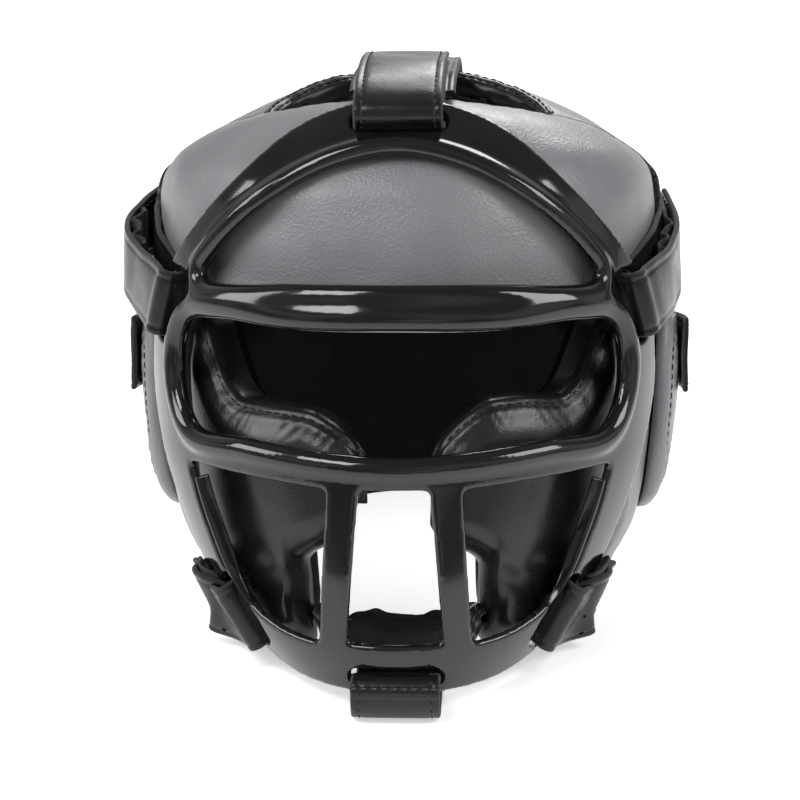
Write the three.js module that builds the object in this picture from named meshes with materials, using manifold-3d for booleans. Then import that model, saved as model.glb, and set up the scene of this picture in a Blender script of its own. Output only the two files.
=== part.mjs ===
import * as THREE from 'three';
import { mergeVertices } from 'three/addons/utils/BufferGeometryUtils.js';
import Module from 'manifold-3d';

const wasm = await Module();
wasm.setup();

// Millimetres. Modelled upright round the middle of the head, face to -Y, then laid back to rest.
const REST_TILT_DEG = 18.4;
const CHIN_REST = { y: -97, z: -121.4 };
const REST_SHIFT = { y: -0.86, z: 84.63 };
const SEAM_GAP = 0.7;

// Padded wall: sections of its outer cover below the equator.
const WALL_CENTRE_Y = 10;
const WALL_POWER = 2.1;
const EQUATOR_Z = 50;
const WALL_ROWS = [
  { z: -112, half: 62, front: -97, back: 40 },
  { z: -100, half: 74, front: -100, back: 62 },
  { z: -72, half: 93, front: -100, back: 100 },
  { z: -48, half: 105, front: -101, back: 120 },
  { z: -20, half: 110, front: -102, back: 127 },
  { z: 10, half: 112.5, front: -103, back: 130 },
  { z: 50, half: 113, front: -104, back: 130 },
];

// Crown: share of the way in to the crown hole, at each share of the way up.
const HOLE = { y: -2, halfX: 62, halfY: 43 };
const RIM_Z = { front: 139, side: 131, back: 152 };
const RIM_SINK = 0.8;
const CROWN_ROWS = [
  { rise: 0, front: 0, side: 0, back: 0, inside: 0 },
  { rise: 0.25, front: 0.012, side: 0.004, back: 0.012, inside: 0.02 },
  { rise: 0.5, front: 0.08, side: 0.012, back: 0.07, inside: 0.09 },
  { rise: 0.64, front: 0.18, side: 0.045, back: 0.14, inside: 0.19 },
  { rise: 0.75, front: 0.31, side: 0.15, back: 0.24, inside: 0.32 },
  { rise: 0.84, front: 0.46, side: 0.35, back: 0.38, inside: 0.48 },
  { rise: 0.925, front: 0.66, side: 0.6, back: 0.6, inside: 0.7 },
  { rise: 1, front: 1, side: 1, back: 1, inside: 1 },
];
const PAD_DEPTH = 24;
const PAD_ROUND = 9;

const SEAM_DEG = 93;
const CHEEK_SEAM_DEG = 65;
const FOREHEAD_LOW_Z = 46;
const NAPE_LIFT_ROWS = [
  { deg: 93, lift: 20 },
  { deg: 112, lift: 12 },
  { deg: 132, lift: 1.5 },
  { deg: 140, lift: 0 },
  { deg: 180, lift: 0 },
];
const SIDE_LOW_ROWS = [
  { deg: 65, z: -90 },
  { deg: 78, z: -78 },
  { deg: 93, z: -51 },
];
const CHEEK_INSET = 7;
const CHEEK_DEPTH = 24;
const CHEEK_ROWS = [
  { deg: 8, top: -14, low: -36 },
  { deg: 11, top: -6, low: -49 },
  { deg: 16, top: 0.5, low: -56 },
  { deg: 22, top: 5, low: -61 },
  { deg: 28, top: 6, low: -68 },
  { deg: 32, top: 6.5, low: -79 },
  { deg: 36, top: 7, low: -90 },
  { deg: 42, top: 8, low: -96 },
  { deg: 48, top: 14, low: -97 },
  { deg: 54, top: 27, low: -96 },
  { deg: 60, top: 40, low: -94 },
  { deg: 65, top: 45, low: -91 },
];
const EAR = { deg: 101, z: -1, halfDeg: 20.5, halfZ: 51, rise: 5, lip: 6, power: 2.8 };
const CHIN_PAD_DEPTH = 8;
const CHIN_PAD_TUCK = 1.6;
const CHIN_PAD_ROWS = [
  { x: 0, frontY: -95, frontZ: -105, rearX: 0, rearY: -60, rearZ: -94 },
  { x: 18, frontY: -92.5, frontZ: -103.5, rearX: 17, rearY: -60, rearZ: -94 },
  { x: 31, frontY: -86, frontZ: -97, rearX: 26, rearY: -60, rearZ: -95 },
];

// Cage: sections of its outer skin, and outlines in front view (right half).
const CAGE_CENTRE_Y = 10;
const CAGE_POWER = 2.2;
const CAGE_WALL = 4.2;
const CAGE_ROWS = [
  { z: -126, half: 55, front: -97 },
  { z: -113, half: 64, front: -108 },
  { z: -92, half: 80, front: -118 },
  { z: -60, half: 100.5, front: -124 },
  { z: -27, half: 112.5, front: -125 },
  { z: -12, half: 116, front: -124 },
  { z: 42, half: 119, front: -117 },
  { z: 58, half: 118.5, front: -114 },
  { z: 90, half: 115.5, front: -109 },
  { z: 118, half: 101, front: -94 },
  { z: 144, half: 75, front: -68 },
];
const OUTLINE = [
  { x: 0, z: 138 },
  { x: 24, z: 134.5 },
  { x: 46, z: 124.5 },
  { x: 72, z: 102 },
  { x: 94, z: 77 },
  { x: 103.5, z: 62 },
  { x: 109, z: 44 },
  { x: 111.3, z: 22 },
  { x: 110.3, z: 6 },
  { x: 106, z: -15 },
  { x: 99.7, z: -35 },
  { x: 88, z: -63 },
  { x: 77.5, z: -82 },
  { x: 67.5, z: -96 },
  { x: 57, z: -103.5 },
  { x: 44, z: -110 },
  { x: 20, z: -114 },
  { x: 0, z: -114.8 },
];
const CRESCENT = [
  { x: 0, z: 116 },
  { x: 25, z: 111.5 },
  { x: 47, z: 101 },
  { x: 66, z: 87 },
  { x: 80, z: 72.5 },
  { x: 86, z: 63 },
  { x: 83, z: 58.5 },
  { x: 45, z: 59 },
  { x: 0, z: 59 },
];
const EYE_SLOT = [
  { x: 0, z: 41.5 },
  { x: 46, z: 42 },
  { x: 78, z: 45 },
  { x: 92, z: 42.8 },
  { x: 98, z: 22 },
  { x: 89.5, z: -3 },
  { x: 64, z: -6.2 },
  { x: 28, z: -10.4 },
  { x: 0, z: -12 },
];
const SIDE_OPENING = [
  { x: 28.8, z: -24.5 },
  { x: 60, z: -21.3 },
  { x: 86, z: -18.8 },
  { x: 90.8, z: -24.5 },
  { x: 82.7, z: -48.6 },
  { x: 75.3, z: -66.8 },
  { x: 63.8, z: -81.2 },
  { x: 50.2, z: -88.9 },
  { x: 36, z: -92 },
  { x: 32.6, z: -89 },
];
const MIDDLE_OPENING = [
  { x: 0, z: -24.7 },
  { x: 15.2, z: -24.7 },
  { x: 20.8, z: -91 },
  { x: 0, z: -92 },
];
const EYE_BEAD = { radius: 5, out: 4.4, steps: 38 };
const CRESCENT_BEAD = { radius: 4, out: 3.2, steps: 36 };
const CAGE_SLOT = { across: 7.5, through: 34 };
const SLOT_ROWS = [
  { name: 'top', x: 0, z: 127.5, alongX: 1, alongZ: 0, length: 42 },
  { name: 'chin', x: 0, z: -104.5, alongX: 1, alongZ: 0, length: 42 },
  { name: 'temple', x: 99.2, z: 49.5, alongX: 0.26, alongZ: -0.97, length: 36 },
  { name: 'jaw', x: 69.5, z: -80.5, alongX: -0.469, alongZ: -0.883, length: 42 },
];

// Straps: width, thickness and the way each one runs.
const STRAP_DEPTH = 2.4;
const STRAP_WIDTH = 38;
const TEMPLE_WIDTH = 32;
const CROWN_WIDTH = 46;
const CROWN_DEPTH = 3.4;
const BACK_WIDTH = 34;
const BACK_DEPTH = 2.4;
const EDGE_STRAP_STEPS = 34;
const EDGE_STRAP_ROWS = [
  { run: 13, temple: -6.9, jaw: -9 },
  { run: 7, temple: -6.9, jaw: -8.4 },
  { run: 2.2, temple: -6, jaw: -6.8 },
  { run: 0, temple: -2, jaw: -2.4 },
  { run: -0.4, temple: 2.6, jaw: 2.6 },
  { run: 2.4, temple: 5.2, jaw: 5.2 },
  { run: 7, temple: 4.6, jaw: 4.8 },
  { run: 13, temple: 4.6, jaw: 5 },
];
const BACK_STRAP_Z = 21;
const BACK_STRAP_DEG = 87;

function monotone(rows, key, column) {
  const xs = rows.map((row) => row[key]);
  const ys = rows.map((row) => row[column]);
  const slopes = xs.slice(1).map((x, i) => (ys[i + 1] - ys[i]) / (x - xs[i]));
  const tangents = xs.map((x, i) => {
    if (i === 0) return slopes[0];
    if (i === xs.length - 1) return slopes[i - 1];
    if (slopes[i - 1] * slopes[i] <= 0) return 0;
    return (2 * slopes[i - 1] * slopes[i]) / (slopes[i - 1] + slopes[i]);
  });
  return (x) => {
    let i = 0;
    while (i < xs.length - 2 && x > xs[i + 1]) i += 1;
    const span = xs[i + 1] - xs[i];
    const t = THREE.MathUtils.clamp((x - xs[i]) / span, 0, 1);
    const a = 2 * t ** 3 - 3 * t ** 2 + 1;
    const b = t ** 3 - 2 * t ** 2 + t;
    const c = -2 * t ** 3 + 3 * t ** 2;
    const d = t ** 3 - t ** 2;
    return a * ys[i] + b * span * tangents[i] + c * ys[i + 1] + d * span * tangents[i + 1];
  };
}

const wallHalf = monotone(WALL_ROWS, 'z', 'half');
const wallFront = monotone(WALL_ROWS, 'z', 'front');
const wallBack = monotone(WALL_ROWS, 'z', 'back');
const crownFront = monotone(CROWN_ROWS, 'rise', 'front');
const crownSide = monotone(CROWN_ROWS, 'rise', 'side');
const crownBack = monotone(CROWN_ROWS, 'rise', 'back');
const crownInside = monotone(CROWN_ROWS, 'rise', 'inside');
const cageHalf = monotone(CAGE_ROWS, 'z', 'half');
const cageFront = monotone(CAGE_ROWS, 'z', 'front');
const napeLift = monotone(NAPE_LIFT_ROWS, 'deg', 'lift');
const sideLow = monotone(SIDE_LOW_ROWS, 'deg', 'z');
const cheekTop = monotone(CHEEK_ROWS, 'deg', 'top');
const cheekLow = monotone(CHEEK_ROWS, 'deg', 'low');

const lerp = THREE.MathUtils.lerp;
const signedPower = (v, p) => Math.sign(v) * Math.abs(v) ** p;
const floorZ = (y) => CHIN_REST.z + (y - CHIN_REST.y) * Math.tan(THREE.MathUtils.degToRad(REST_TILT_DEG));

function rimZ(deg, depth) {
  const cos = Math.cos(THREE.MathUtils.degToRad(deg));
  const rim = cos > 0 ? lerp(RIM_Z.side, RIM_Z.front, cos * cos) : lerp(RIM_Z.side, RIM_Z.back, (-cos) ** 1.3);
  return rim - RIM_SINK * depth;
}

// Point of the wall: degrees from the face, level (mm below the equator, or 0 to 1 up the crown), depth in.
function wallPoint(deg, level, depth) {
  const angle = THREE.MathUtils.degToRad(deg);
  const sin = Math.sin(angle);
  const cos = Math.cos(angle);
  const z = EQUATOR_Z + Math.min(level, 0);
  const reach = cos > 0 ? WALL_CENTRE_Y - wallFront(z) : wallBack(z) - WALL_CENTRE_Y;
  const x = (wallHalf(z) - depth) * signedPower(sin, 2 / WALL_POWER);
  const y = WALL_CENTRE_Y - (reach - depth) * signedPower(cos, 2 / WALL_POWER);
  if (level <= 0) return new THREE.Vector3(x, y, z);
  const facing = cos > 0 ? crownFront(level) : crownBack(level);
  const cover = lerp(crownSide(level), facing, cos * cos);
  const share = lerp(cover, crownInside(level), THREE.MathUtils.clamp(depth / PAD_DEPTH, 0, 1));
  return new THREE.Vector3(
    lerp(x, HOLE.halfX * sin, share),
    lerp(y, HOLE.y - HOLE.halfY * cos, share),
    lerp(EQUATOR_Z, rimZ(deg, depth), level),
  );
}

function cagePoint(x, z) {
  const share = Math.min(Math.abs(x) / cageHalf(z), 0.999);
  const bow = (1 - share ** CAGE_POWER) ** (1 / CAGE_POWER);
  return new THREE.Vector3(x, CAGE_CENTRE_Y - (CAGE_CENTRE_Y - cageFront(z)) * bow, z);
}

function cageNormal(x, z) {
  const along = cagePoint(x + 0.5, z).sub(cagePoint(x - 0.5, z));
  const up = cagePoint(x, z + 0.5).sub(cagePoint(x, z - 0.5));
  return along.cross(up).normalize();
}

function solid(points, faces) {
  const geometry = new THREE.BufferGeometry();
  const flat = points.flatMap((p) => [p.x, p.y, p.z]);
  geometry.setAttribute('position', new THREE.Float32BufferAttribute(flat, 3));
  geometry.setIndex(faces.flat());
  return facingOut(geometry);
}

function facingOut(geometry) {
  const p = geometry.getAttribute('position');
  const index = Array.from(geometry.index.array);
  const [a, b, c] = [new THREE.Vector3(), new THREE.Vector3(), new THREE.Vector3()];
  let volume = 0;
  for (let i = 0; i < index.length; i += 3) {
    a.fromBufferAttribute(p, index[i]);
    b.fromBufferAttribute(p, index[i + 1]);
    c.fromBufferAttribute(p, index[i + 2]);
    volume += a.dot(b.cross(c));
  }
  if (volume < 0) geometry.setIndex(index.reverse());
  return geometry;
}

// Closed body between two grids of points that share their border.
function between(outer, inner) {
  const rows = outer.length;
  const columns = outer[0].length;
  const points = [...outer.flat(), ...inner.flat()];
  const at = (side, i, j) => side * rows * columns + i * columns + j;
  const faces = [];
  const quad = (a, b, c, d) => faces.push([a, b, c], [a, c, d]);
  for (let i = 0; i < rows - 1; i += 1) {
    for (let j = 0; j < columns - 1; j += 1) {
      quad(at(0, i, j), at(0, i, j + 1), at(0, i + 1, j + 1), at(0, i + 1, j));
      quad(at(1, i, j), at(1, i + 1, j), at(1, i + 1, j + 1), at(1, i, j + 1));
    }
  }
  for (let j = 0; j < columns - 1; j += 1) {
    quad(at(0, 0, j + 1), at(0, 0, j), at(1, 0, j), at(1, 0, j + 1));
    quad(at(0, rows - 1, j), at(0, rows - 1, j + 1), at(1, rows - 1, j + 1), at(1, rows - 1, j));
  }
  for (let i = 0; i < rows - 1; i += 1) {
    quad(at(0, i, 0), at(0, i + 1, 0), at(1, i + 1, 0), at(1, i, 0));
    quad(at(0, i + 1, columns - 1), at(0, i, columns - 1), at(1, i, columns - 1), at(1, i + 1, columns - 1));
  }
  return solid(points, faces);
}

function edgeSteps(length, radius, middle) {
  const near = [0, 0.22, 1].map((f) => (f * radius) / length);
  const inner = Array.from({ length: middle }, (_, i) => lerp(near[2], 1 - near[2], (i + 1) / (middle + 1)));
  return [...near, ...inner, ...near.map((f) => 1 - f).reverse()];
}

const runs = (points) => points.map((p, i) => (i ? p.distanceTo(points[i - 1]) : 0));
const sums = (steps) => steps.map((s, i) => steps.slice(0, i + 1).reduce((a, b) => a + b, 0));

function edgeGaps(points) {
  const along = sums(runs(points));
  const total = along[along.length - 1];
  return along.map((d) => Math.min(d, total - d));
}

function roundDrop(across, along, radius) {
  const a = Math.max(0, radius - across);
  const b = Math.max(0, radius - along);
  const out = Math.min(Math.hypot(a, b), radius);
  return radius - Math.sqrt(radius * radius - out * out);
}

// Cushion on the wall: from and to in degrees, low and high give the level at each degree.
function cushion({ from, to, low, high, near, depth, across, along, round = PAD_ROUND, underside }) {
  const us = edgeSteps(across.length, round, across.steps);
  const vs = edgeSteps(along.length, round, along.steps);
  const place = (u, v, d) => {
    const deg = lerp(from, to, u);
    return wallPoint(deg, level(lerp(lengthOf(low(deg)), lengthOf(high(deg)), v)), d);
  };
  const cover = vs.map((v) => us.map((u) => place(u, v, near)));
  const acrossGaps = cover.map((row) => edgeGaps(row));
  const alongGaps = us.map((u, j) => edgeGaps(cover.map((row) => row[j])));
  const drop = (i, j, r) => roundDrop(acrossGaps[i][j], alongGaps[j][i], r);
  const inRound = round * 0.7;
  const outer = vs.map((v, i) => us.map((u, j) => place(u, v, near + drop(i, j, round))));
  const inner = vs.map((v, i) => us.map((u, j) => place(u, v, near + depth - drop(i, j, inRound))));
  if (underside) [outer[0], inner[0]].forEach((row) => row.forEach(underside));
  return between(outer, inner);
}

// Levels run evenly over the wall: the crown's share of the way up counts as its length in millimetres.
const CROWN_LENGTH = 120;
const lengthOf = (lv) => (lv > 0 ? lv * CROWN_LENGTH : lv);
const level = (mm) => (mm > 0 ? mm / CROWN_LENGTH : mm);

function foreheadPad() {
  return cushion({
    from: -SEAM_DEG,
    to: SEAM_DEG,
    low: () => FOREHEAD_LOW_Z - EQUATOR_Z,
    high: () => 1,
    near: 0,
    depth: PAD_DEPTH,
    across: { length: 330, steps: 12 },
    along: { length: 120, steps: 5 },
  });
}

function napeLevel(deg) {
  const lift = napeLift(Math.min(deg, 360 - deg));
  let z = -50;
  for (let i = 0; i < 12; i += 1) z = floorZ(wallPoint(deg, z - EQUATOR_Z, 0).y) + lift;
  return z - EQUATOR_Z;
}

function backPad() {
  const gap = 0.36;
  return cushion({
    from: SEAM_DEG + gap,
    to: 360 - SEAM_DEG - gap,
    low: napeLevel,
    high: () => 1,
    near: 0,
    depth: PAD_DEPTH,
    across: { length: 330, steps: 12 },
    along: { length: 220, steps: 8 },
    underside: (p) => {
      const deg = THREE.MathUtils.radToDeg(Math.atan2(Math.abs(p.x), WALL_CENTRE_Y - p.y));
      p.z = floorZ(p.y) + napeLift(THREE.MathUtils.clamp(deg, 93, 180));
    },
  });
}

function sidePad() {
  return cushion({
    from: CHEEK_SEAM_DEG + 0.5,
    to: SEAM_DEG,
    low: (deg) => sideLow(deg) - EQUATOR_Z,
    high: () => FOREHEAD_LOW_Z - EQUATOR_Z - SEAM_GAP,
    near: 0,
    depth: PAD_DEPTH,
    across: { length: 50, steps: 2 },
    along: { length: 120, steps: 5 },
  });
}

function cheekPad() {
  return cushion({
    from: CHEEK_ROWS[0].deg,
    to: CHEEK_SEAM_DEG,
    low: (deg) => cheekLow(deg) - EQUATOR_Z,
    high: (deg) => cheekTop(deg) - EQUATOR_Z - SEAM_GAP,
    near: CHEEK_INSET,
    depth: CHEEK_DEPTH,
    across: { length: 105, steps: 7 },
    along: { length: 75, steps: 4 },
    round: 8,
  });
}

function earPoint(share, turn, depth) {
  const c = signedPower(Math.cos(turn), 2 / EAR.power);
  const s = signedPower(Math.sin(turn), 2 / EAR.power);
  return wallPoint(EAR.deg + share * EAR.halfDeg * c, EAR.z + share * EAR.halfZ * s - EQUATOR_Z, depth);
}

const earHeight = (share) => EAR.lip + EAR.rise * (1 - share ** 2.4) ** 0.8;

function earPad() {
  const spokes = 20;
  const shares = [0.45, 0.75, 0.93, 1];
  const turns = Array.from({ length: spokes }, (_, i) => (i / spokes) * 2 * Math.PI);
  const gap = 0.9;
  const top = shares.map((r) => turns.map((t) => earPoint(r, t, -gap - earHeight(r))));
  const base = shares.map((r) => turns.map((t) => earPoint(r, t, -gap)));
  const rings = [...top, ...base.reverse()];
  return capped(rings, earPoint(0, 0, -gap - earHeight(0)), earPoint(0, 0, -gap));
}

// Closed body of rings, with a point at each end.
function capped(rings, first, last) {
  const count = rings[0].length;
  const points = [...rings.flat(), first, last];
  const faces = [];
  const end = rings.length - 1;
  for (let j = 0; j < count; j += 1) {
    const k = (j + 1) % count;
    for (let i = 0; i < end; i += 1) {
      const [a, b] = [i * count + j, i * count + k];
      faces.push([a, b, b + count], [a, b + count, a + count]);
    }
    faces.push([points.length - 2, k, j]);
    faces.push([points.length - 1, end * count + j, end * count + k]);
  }
  return solid(points, faces);
}

// Strip through a list of edge pairs; swell gives its share of full depth from edge to edge.
function strip(pairs, depth, swell = [1, 1]) {
  const middle = pairs.map(([a, b]) => a.clone().lerp(b, 0.5));
  const tangents = middle.map((p, i) => {
    const next = middle[Math.min(i + 1, middle.length - 1)];
    const last = middle[Math.max(i - 1, 0)];
    return next.clone().sub(last).normalize();
  });
  const side = (sign) =>
    pairs.map(([a, b], i) => {
      const normal = tangents[i].clone().cross(b.clone().sub(a)).normalize();
      return swell.map((s, j) => {
        const p = a.clone().lerp(b, j / (swell.length - 1));
        return p.addScaledVector(normal, (sign * s * depth) / 2);
      });
    });
  return between(side(1), side(-1));
}

function smoothPath(points, steps) {
  return new THREE.CatmullRomCurve3(points, false, 'centripetal').getPoints(steps);
}

function chinPad() {
  const end = (deg, sign) => {
    const p = wallPoint(deg * sign, cheekLow(deg) - EQUATOR_Z - 1, CHEEK_INSET + CHEEK_DEPTH / 2);
    return p.add(new THREE.Vector3(-sign * CHIN_PAD_TUCK, 0, 0));
  };
  const rows = [
    ...CHIN_PAD_ROWS.slice(1).reverse().map((row) => ({ ...row, x: -row.x, rearX: -row.rearX })),
    ...CHIN_PAD_ROWS,
  ];
  const fronts = rows.map((row) => new THREE.Vector3(row.x, row.frontY, row.frontZ));
  const rears = rows.map((row) => new THREE.Vector3(row.rearX, row.rearY, row.rearZ));
  const front = smoothPath([end(30, -1), ...fronts, end(30, 1)], 22);
  const rear = smoothPath([end(36, -1), ...rears, end(36, 1)], 22);
  return strip(front.map((p, i) => [p, rear[i]]), CHIN_PAD_DEPTH, [0.3, 0.8, 1, 0.8, 0.3]);
}

// Ribbon along stops that hold a point and, where it lies on something, that surface's normal.
function ribbon(stops, across, width, depth, steps) {
  const path = smoothPath(stops.map((stop) => stop.point), steps);
  const normals = smoothPath(stops.map((stop) => stop.normal), steps);
  const pairs = path.map((p, i) => {
    const normal = normals[i].normalize();
    const half = across.clone().addScaledVector(normal, -across.dot(normal)).setLength(width / 2);
    return [p.clone().sub(half), p.clone().add(half)];
  });
  return strip(pairs, depth);
}

const alongX = new THREE.Vector3(1, 0, 0);
const alongZ = new THREE.Vector3(0, 0, 1);
const inMiddle = (rows) => rows.map((row) => ({ point: new THREE.Vector3(0, row.y, row.z), normal: alongZ }));

const CROWN_PATH = [
  { y: -54, z: 139 },
  { y: -45, z: 142.2 },
  { y: -22, z: 147.4 },
  { y: 0, z: 150.2 },
  { y: 22, z: 152.8 },
  { y: 42, z: 154.6 },
  { y: 58, z: 151.4 },
  { y: 70, z: 148.6 },
];
const TOP_PATH = [
  { y: -8, z: 153.2 },
  { y: -24, z: 151.2 },
  { y: -46, z: 146.2 },
  { y: -58, z: 141.6 },
  { y: -65.8, z: 135.4 },
  { y: -72.6, z: 130 },
  { y: -78.1, z: 125.3 },
  { y: -82.6, z: 124.8 },
  { y: -87.4, z: 126.2 },
  { y: -91, z: 129 },
  { y: -91.4, z: 132.6 },
  { y: -87.4, z: 136.8 },
  { y: -80, z: 141.4 },
  { y: -70, z: 146.2 },
  { y: -56, z: 150.6 },
  { y: -40, z: 153.6 },
  { y: -22, z: 155.6 },
  { y: -6, z: 156.8 },
];
const CHIN_PATH = [
  { y: -66, z: -108.6 },
  { y: -76, z: -112.4 },
  { y: -84.5, onFloor: true },
  { y: -86.5, onFloor: true },
  { y: -101.5, onFloor: true },
  { y: -103.5, onFloor: true },
  { y: -109.6, z: -122.4 },
  { y: -113.8, z: -118.8 },
  { y: -116, z: -112.6 },
  { y: -117.2, z: -107 },
  { y: -115.4, z: -104 },
  { y: -110, z: -102.8 },
  { y: -104.5, z: -102.6 },
];
const strapRest = STRAP_DEPTH / 2 / Math.cos(THREE.MathUtils.degToRad(REST_TILT_DEG));
const chinRows = CHIN_PATH.map((row) => (row.onFloor ? { y: row.y, z: floorZ(row.y) + strapRest } : row));

function wallNormal(deg, z) {
  const along = onWall(deg + 0.5, z, 0).sub(onWall(deg - 0.5, z, 0));
  return along.cross(onWall(deg, z + 0.5, 0).sub(onWall(deg, z - 0.5, 0))).normalize();
}

const wallStop = (deg, z, depth) => ({ point: onWall(deg, z, depth), normal: wallNormal(deg, z) });

function onWall(deg, z, depth) {
  if (z <= EQUATOR_Z) return wallPoint(deg, z - EQUATOR_Z, depth);
  return wallPoint(deg, (z - EQUATOR_Z) / (rimZ(deg, depth) - EQUATOR_Z), depth);
}

// Strap through a slot near the cage's edge: under the edge to the slot, folded, then back outside.
function edgeStrap(slot, width, under, over) {
  const along = slotAlong(slot);
  const back = along.clone().cross(cageNormal(slot.x, slot.z)).normalize();
  if (back.y < 0) back.negate();
  const from = cagePoint(slot.x, slot.z);
  const stop = (run, lift) => {
    const ahead = from.clone().addScaledVector(back, run);
    const normal = cageNormal(ahead.x, ahead.z);
    return { point: cagePoint(ahead.x, ahead.z).addScaledVector(normal, lift), normal };
  };
  const stops = [
    ...under,
    ...EDGE_STRAP_ROWS.map((row) => stop(row.run, row[slot.name])),
    ...over,
  ];
  return ribbon(stops, along, width, STRAP_DEPTH, EDGE_STRAP_STEPS);
}

function slotAlong(slot) {
  const a = cagePoint(slot.x - slot.alongX * 5, slot.z - slot.alongZ * 5);
  const b = cagePoint(slot.x + slot.alongX * 5, slot.z + slot.alongZ * 5);
  return b.sub(a).normalize();
}

function backStrap() {
  const degs = Array.from({ length: 37 }, (_, i) => lerp(BACK_STRAP_DEG, 360 - BACK_STRAP_DEG, i / 36));
  const half = new THREE.Vector3(0, 0, BACK_WIDTH / 2);
  const pairs = degs.map((deg) => {
    const turn = Math.min(deg, 360 - deg);
    const share = Math.hypot((turn - EAR.deg) / EAR.halfDeg, 0.43);
    const over = share < 1 ? 1 : THREE.MathUtils.smoothstep(1.62 - share, 0, 0.62);
    const p = onWall(deg, BACK_STRAP_Z, -2 - over * (EAR.lip + EAR.rise + 0.6));
    return [p.clone().sub(half), p.clone().add(half)];
  });
  return strip(pairs, BACK_DEPTH);
}

function toManifold(geometry) {
  const bare = geometry.index ? geometry.clone() : mergeVertices(geometry);
  bare.deleteAttribute('normal');
  bare.deleteAttribute('uv');
  const merged = facingOut(mergeVertices(bare, 1e-4));
  return new wasm.Manifold(
    new wasm.Mesh({
      numProp: 3,
      vertProperties: merged.getAttribute('position').array,
      triVerts: new Uint32Array(merged.index.array),
    }),
  );
}

function fromManifold(manifold) {
  const mesh = manifold.getMesh();
  const geometry = new THREE.BufferGeometry();
  geometry.setAttribute('position', new THREE.BufferAttribute(new Float32Array(mesh.vertProperties), 3));
  geometry.setIndex(new THREE.BufferAttribute(new Uint32Array(mesh.triVerts), 1));
  return geometry;
}

function mirrored(half) {
  const left = half
    .filter((p) => p.x > 0)
    .map((p) => ({ x: -p.x, z: p.z }))
    .reverse();
  return [...half, ...left];
}

function closedCurve(points, steps) {
  const flat = points.map((p) => new THREE.Vector3(p.x, p.z, 0));
  return new THREE.CatmullRomCurve3(flat, true, 'centripetal').getSpacedPoints(steps).slice(0, steps);
}

// Prism along Y from an outline in front view.
function prism(outline) {
  const shape = new THREE.Shape(outline.map((p) => new THREE.Vector2(p.x, p.y)));
  const geometry = new THREE.ExtrudeGeometry(shape, { depth: 200, bevelEnabled: false });
  geometry.rotateX(Math.PI / 2);
  return toManifold(geometry);
}

// Cutter whose sides stand square to the cage's skin along an outline in front view.
function flared(outline) {
  const ring = (lift) =>
    outline.map((p) => cagePoint(p.x, p.y).addScaledVector(cageNormal(p.x, p.y), lift));
  return toManifold(capped([ring(14), ring(-12)], new THREE.Vector3(0, -240, 10), new THREE.Vector3(0, 80, 10)));
}

function cageBlank() {
  const zs = Array.from({ length: 16 }, (_, i) => lerp(-124, 143, i / 15));
  const shares = Array.from({ length: 20 }, (_, i) => Math.sin(lerp(-1.34, 1.34, i / 19)));
  const skin = zs.map((z) => shares.map((s) => cagePoint(s * cageHalf(z), z)));
  const inner = zs.map((z, i) =>
    shares.map((s, j) => skin[i][j].clone().addScaledVector(cageNormal(s * cageHalf(z), z), -CAGE_WALL)),
  );
  return toManifold(between(skin, inner));
}

// Rounded rim laid along an outline on the cage, a little way outside it.
function bead(outline, { radius, out }) {
  const count = outline.length;
  const sides = 6;
  const rings = outline.map((p, i) => {
    const next = outline[(i + 1) % count];
    const last = outline[(i + count - 1) % count];
    const away = new THREE.Vector2(next.y - last.y, last.x - next.x).normalize();
    const x = p.x - away.x * out;
    const z = p.y - away.y * out;
    const normal = cageNormal(x, z);
    const centre = cagePoint(x, z).addScaledVector(normal, -CAGE_WALL * 0.45);
    const slant = cagePoint(x - away.x, z - away.y).sub(cagePoint(x, z)).normalize();
    return Array.from({ length: sides }, (_, k) => {
      const turn = (k / sides) * 2 * Math.PI;
      return centre
        .clone()
        .addScaledVector(normal, radius * Math.sin(turn))
        .addScaledVector(slant, radius * Math.cos(turn));
    });
  });
  const faces = [];
  rings.forEach((ring, i) => {
    const n = ((i + 1) % count) * sides;
    ring.forEach((p, k) => {
      const m = (k + 1) % sides;
      faces.push([i * sides + k, n + k, n + m], [i * sides + k, n + m, i * sides + m]);
    });
  });
  return toManifold(solid(rings.flat(), faces));
}

function slotCutter(slot, mirror) {
  const sign = mirror ? -1 : 1;
  const place = { ...slot, x: slot.x * sign, alongX: slot.alongX * sign };
  const along = slotAlong(place);
  const normal = cageNormal(place.x, place.z);
  const across = normal.clone().cross(along).normalize();
  const box = new THREE.BoxGeometry(slot.length, CAGE_SLOT.across, CAGE_SLOT.through);
  const frame = new THREE.Matrix4().makeBasis(along, across, normal);
  frame.setPosition(cagePoint(place.x, place.z));
  return toManifold(box.applyMatrix4(frame));
}

function faceCage() {
  const eye = closedCurve(mirrored(EYE_SLOT), EYE_BEAD.steps);
  const crescent = closedCurve(mirrored(CRESCENT), CRESCENT_BEAD.steps);
  const right = SIDE_OPENING;
  const left = SIDE_OPENING.map((p) => ({ x: -p.x, z: p.z })).reverse();
  const middle = mirrored(MIDDLE_OPENING).map((p) => new THREE.Vector2(p.x, p.z));
  let cage = cageBlank().intersect(flared(closedCurve(mirrored(OUTLINE), 52)));
  cage = cage.add(bead(eye, EYE_BEAD)).add(bead(crescent, CRESCENT_BEAD));
  [eye, crescent, closedCurve(right, 28), closedCurve(left, 28), middle].forEach((outline) => {
    cage = cage.subtract(prism(outline));
  });
  SLOT_ROWS.forEach((slot) => {
    cage = cage.subtract(slotCutter(slot, false));
    if (slot.x > 0) cage = cage.subtract(slotCutter(slot, true));
  });
  return fromManifold(cage.simplify(0.4));
}

const slotNamed = (name) => SLOT_ROWS.find((slot) => slot.name === name);

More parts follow.
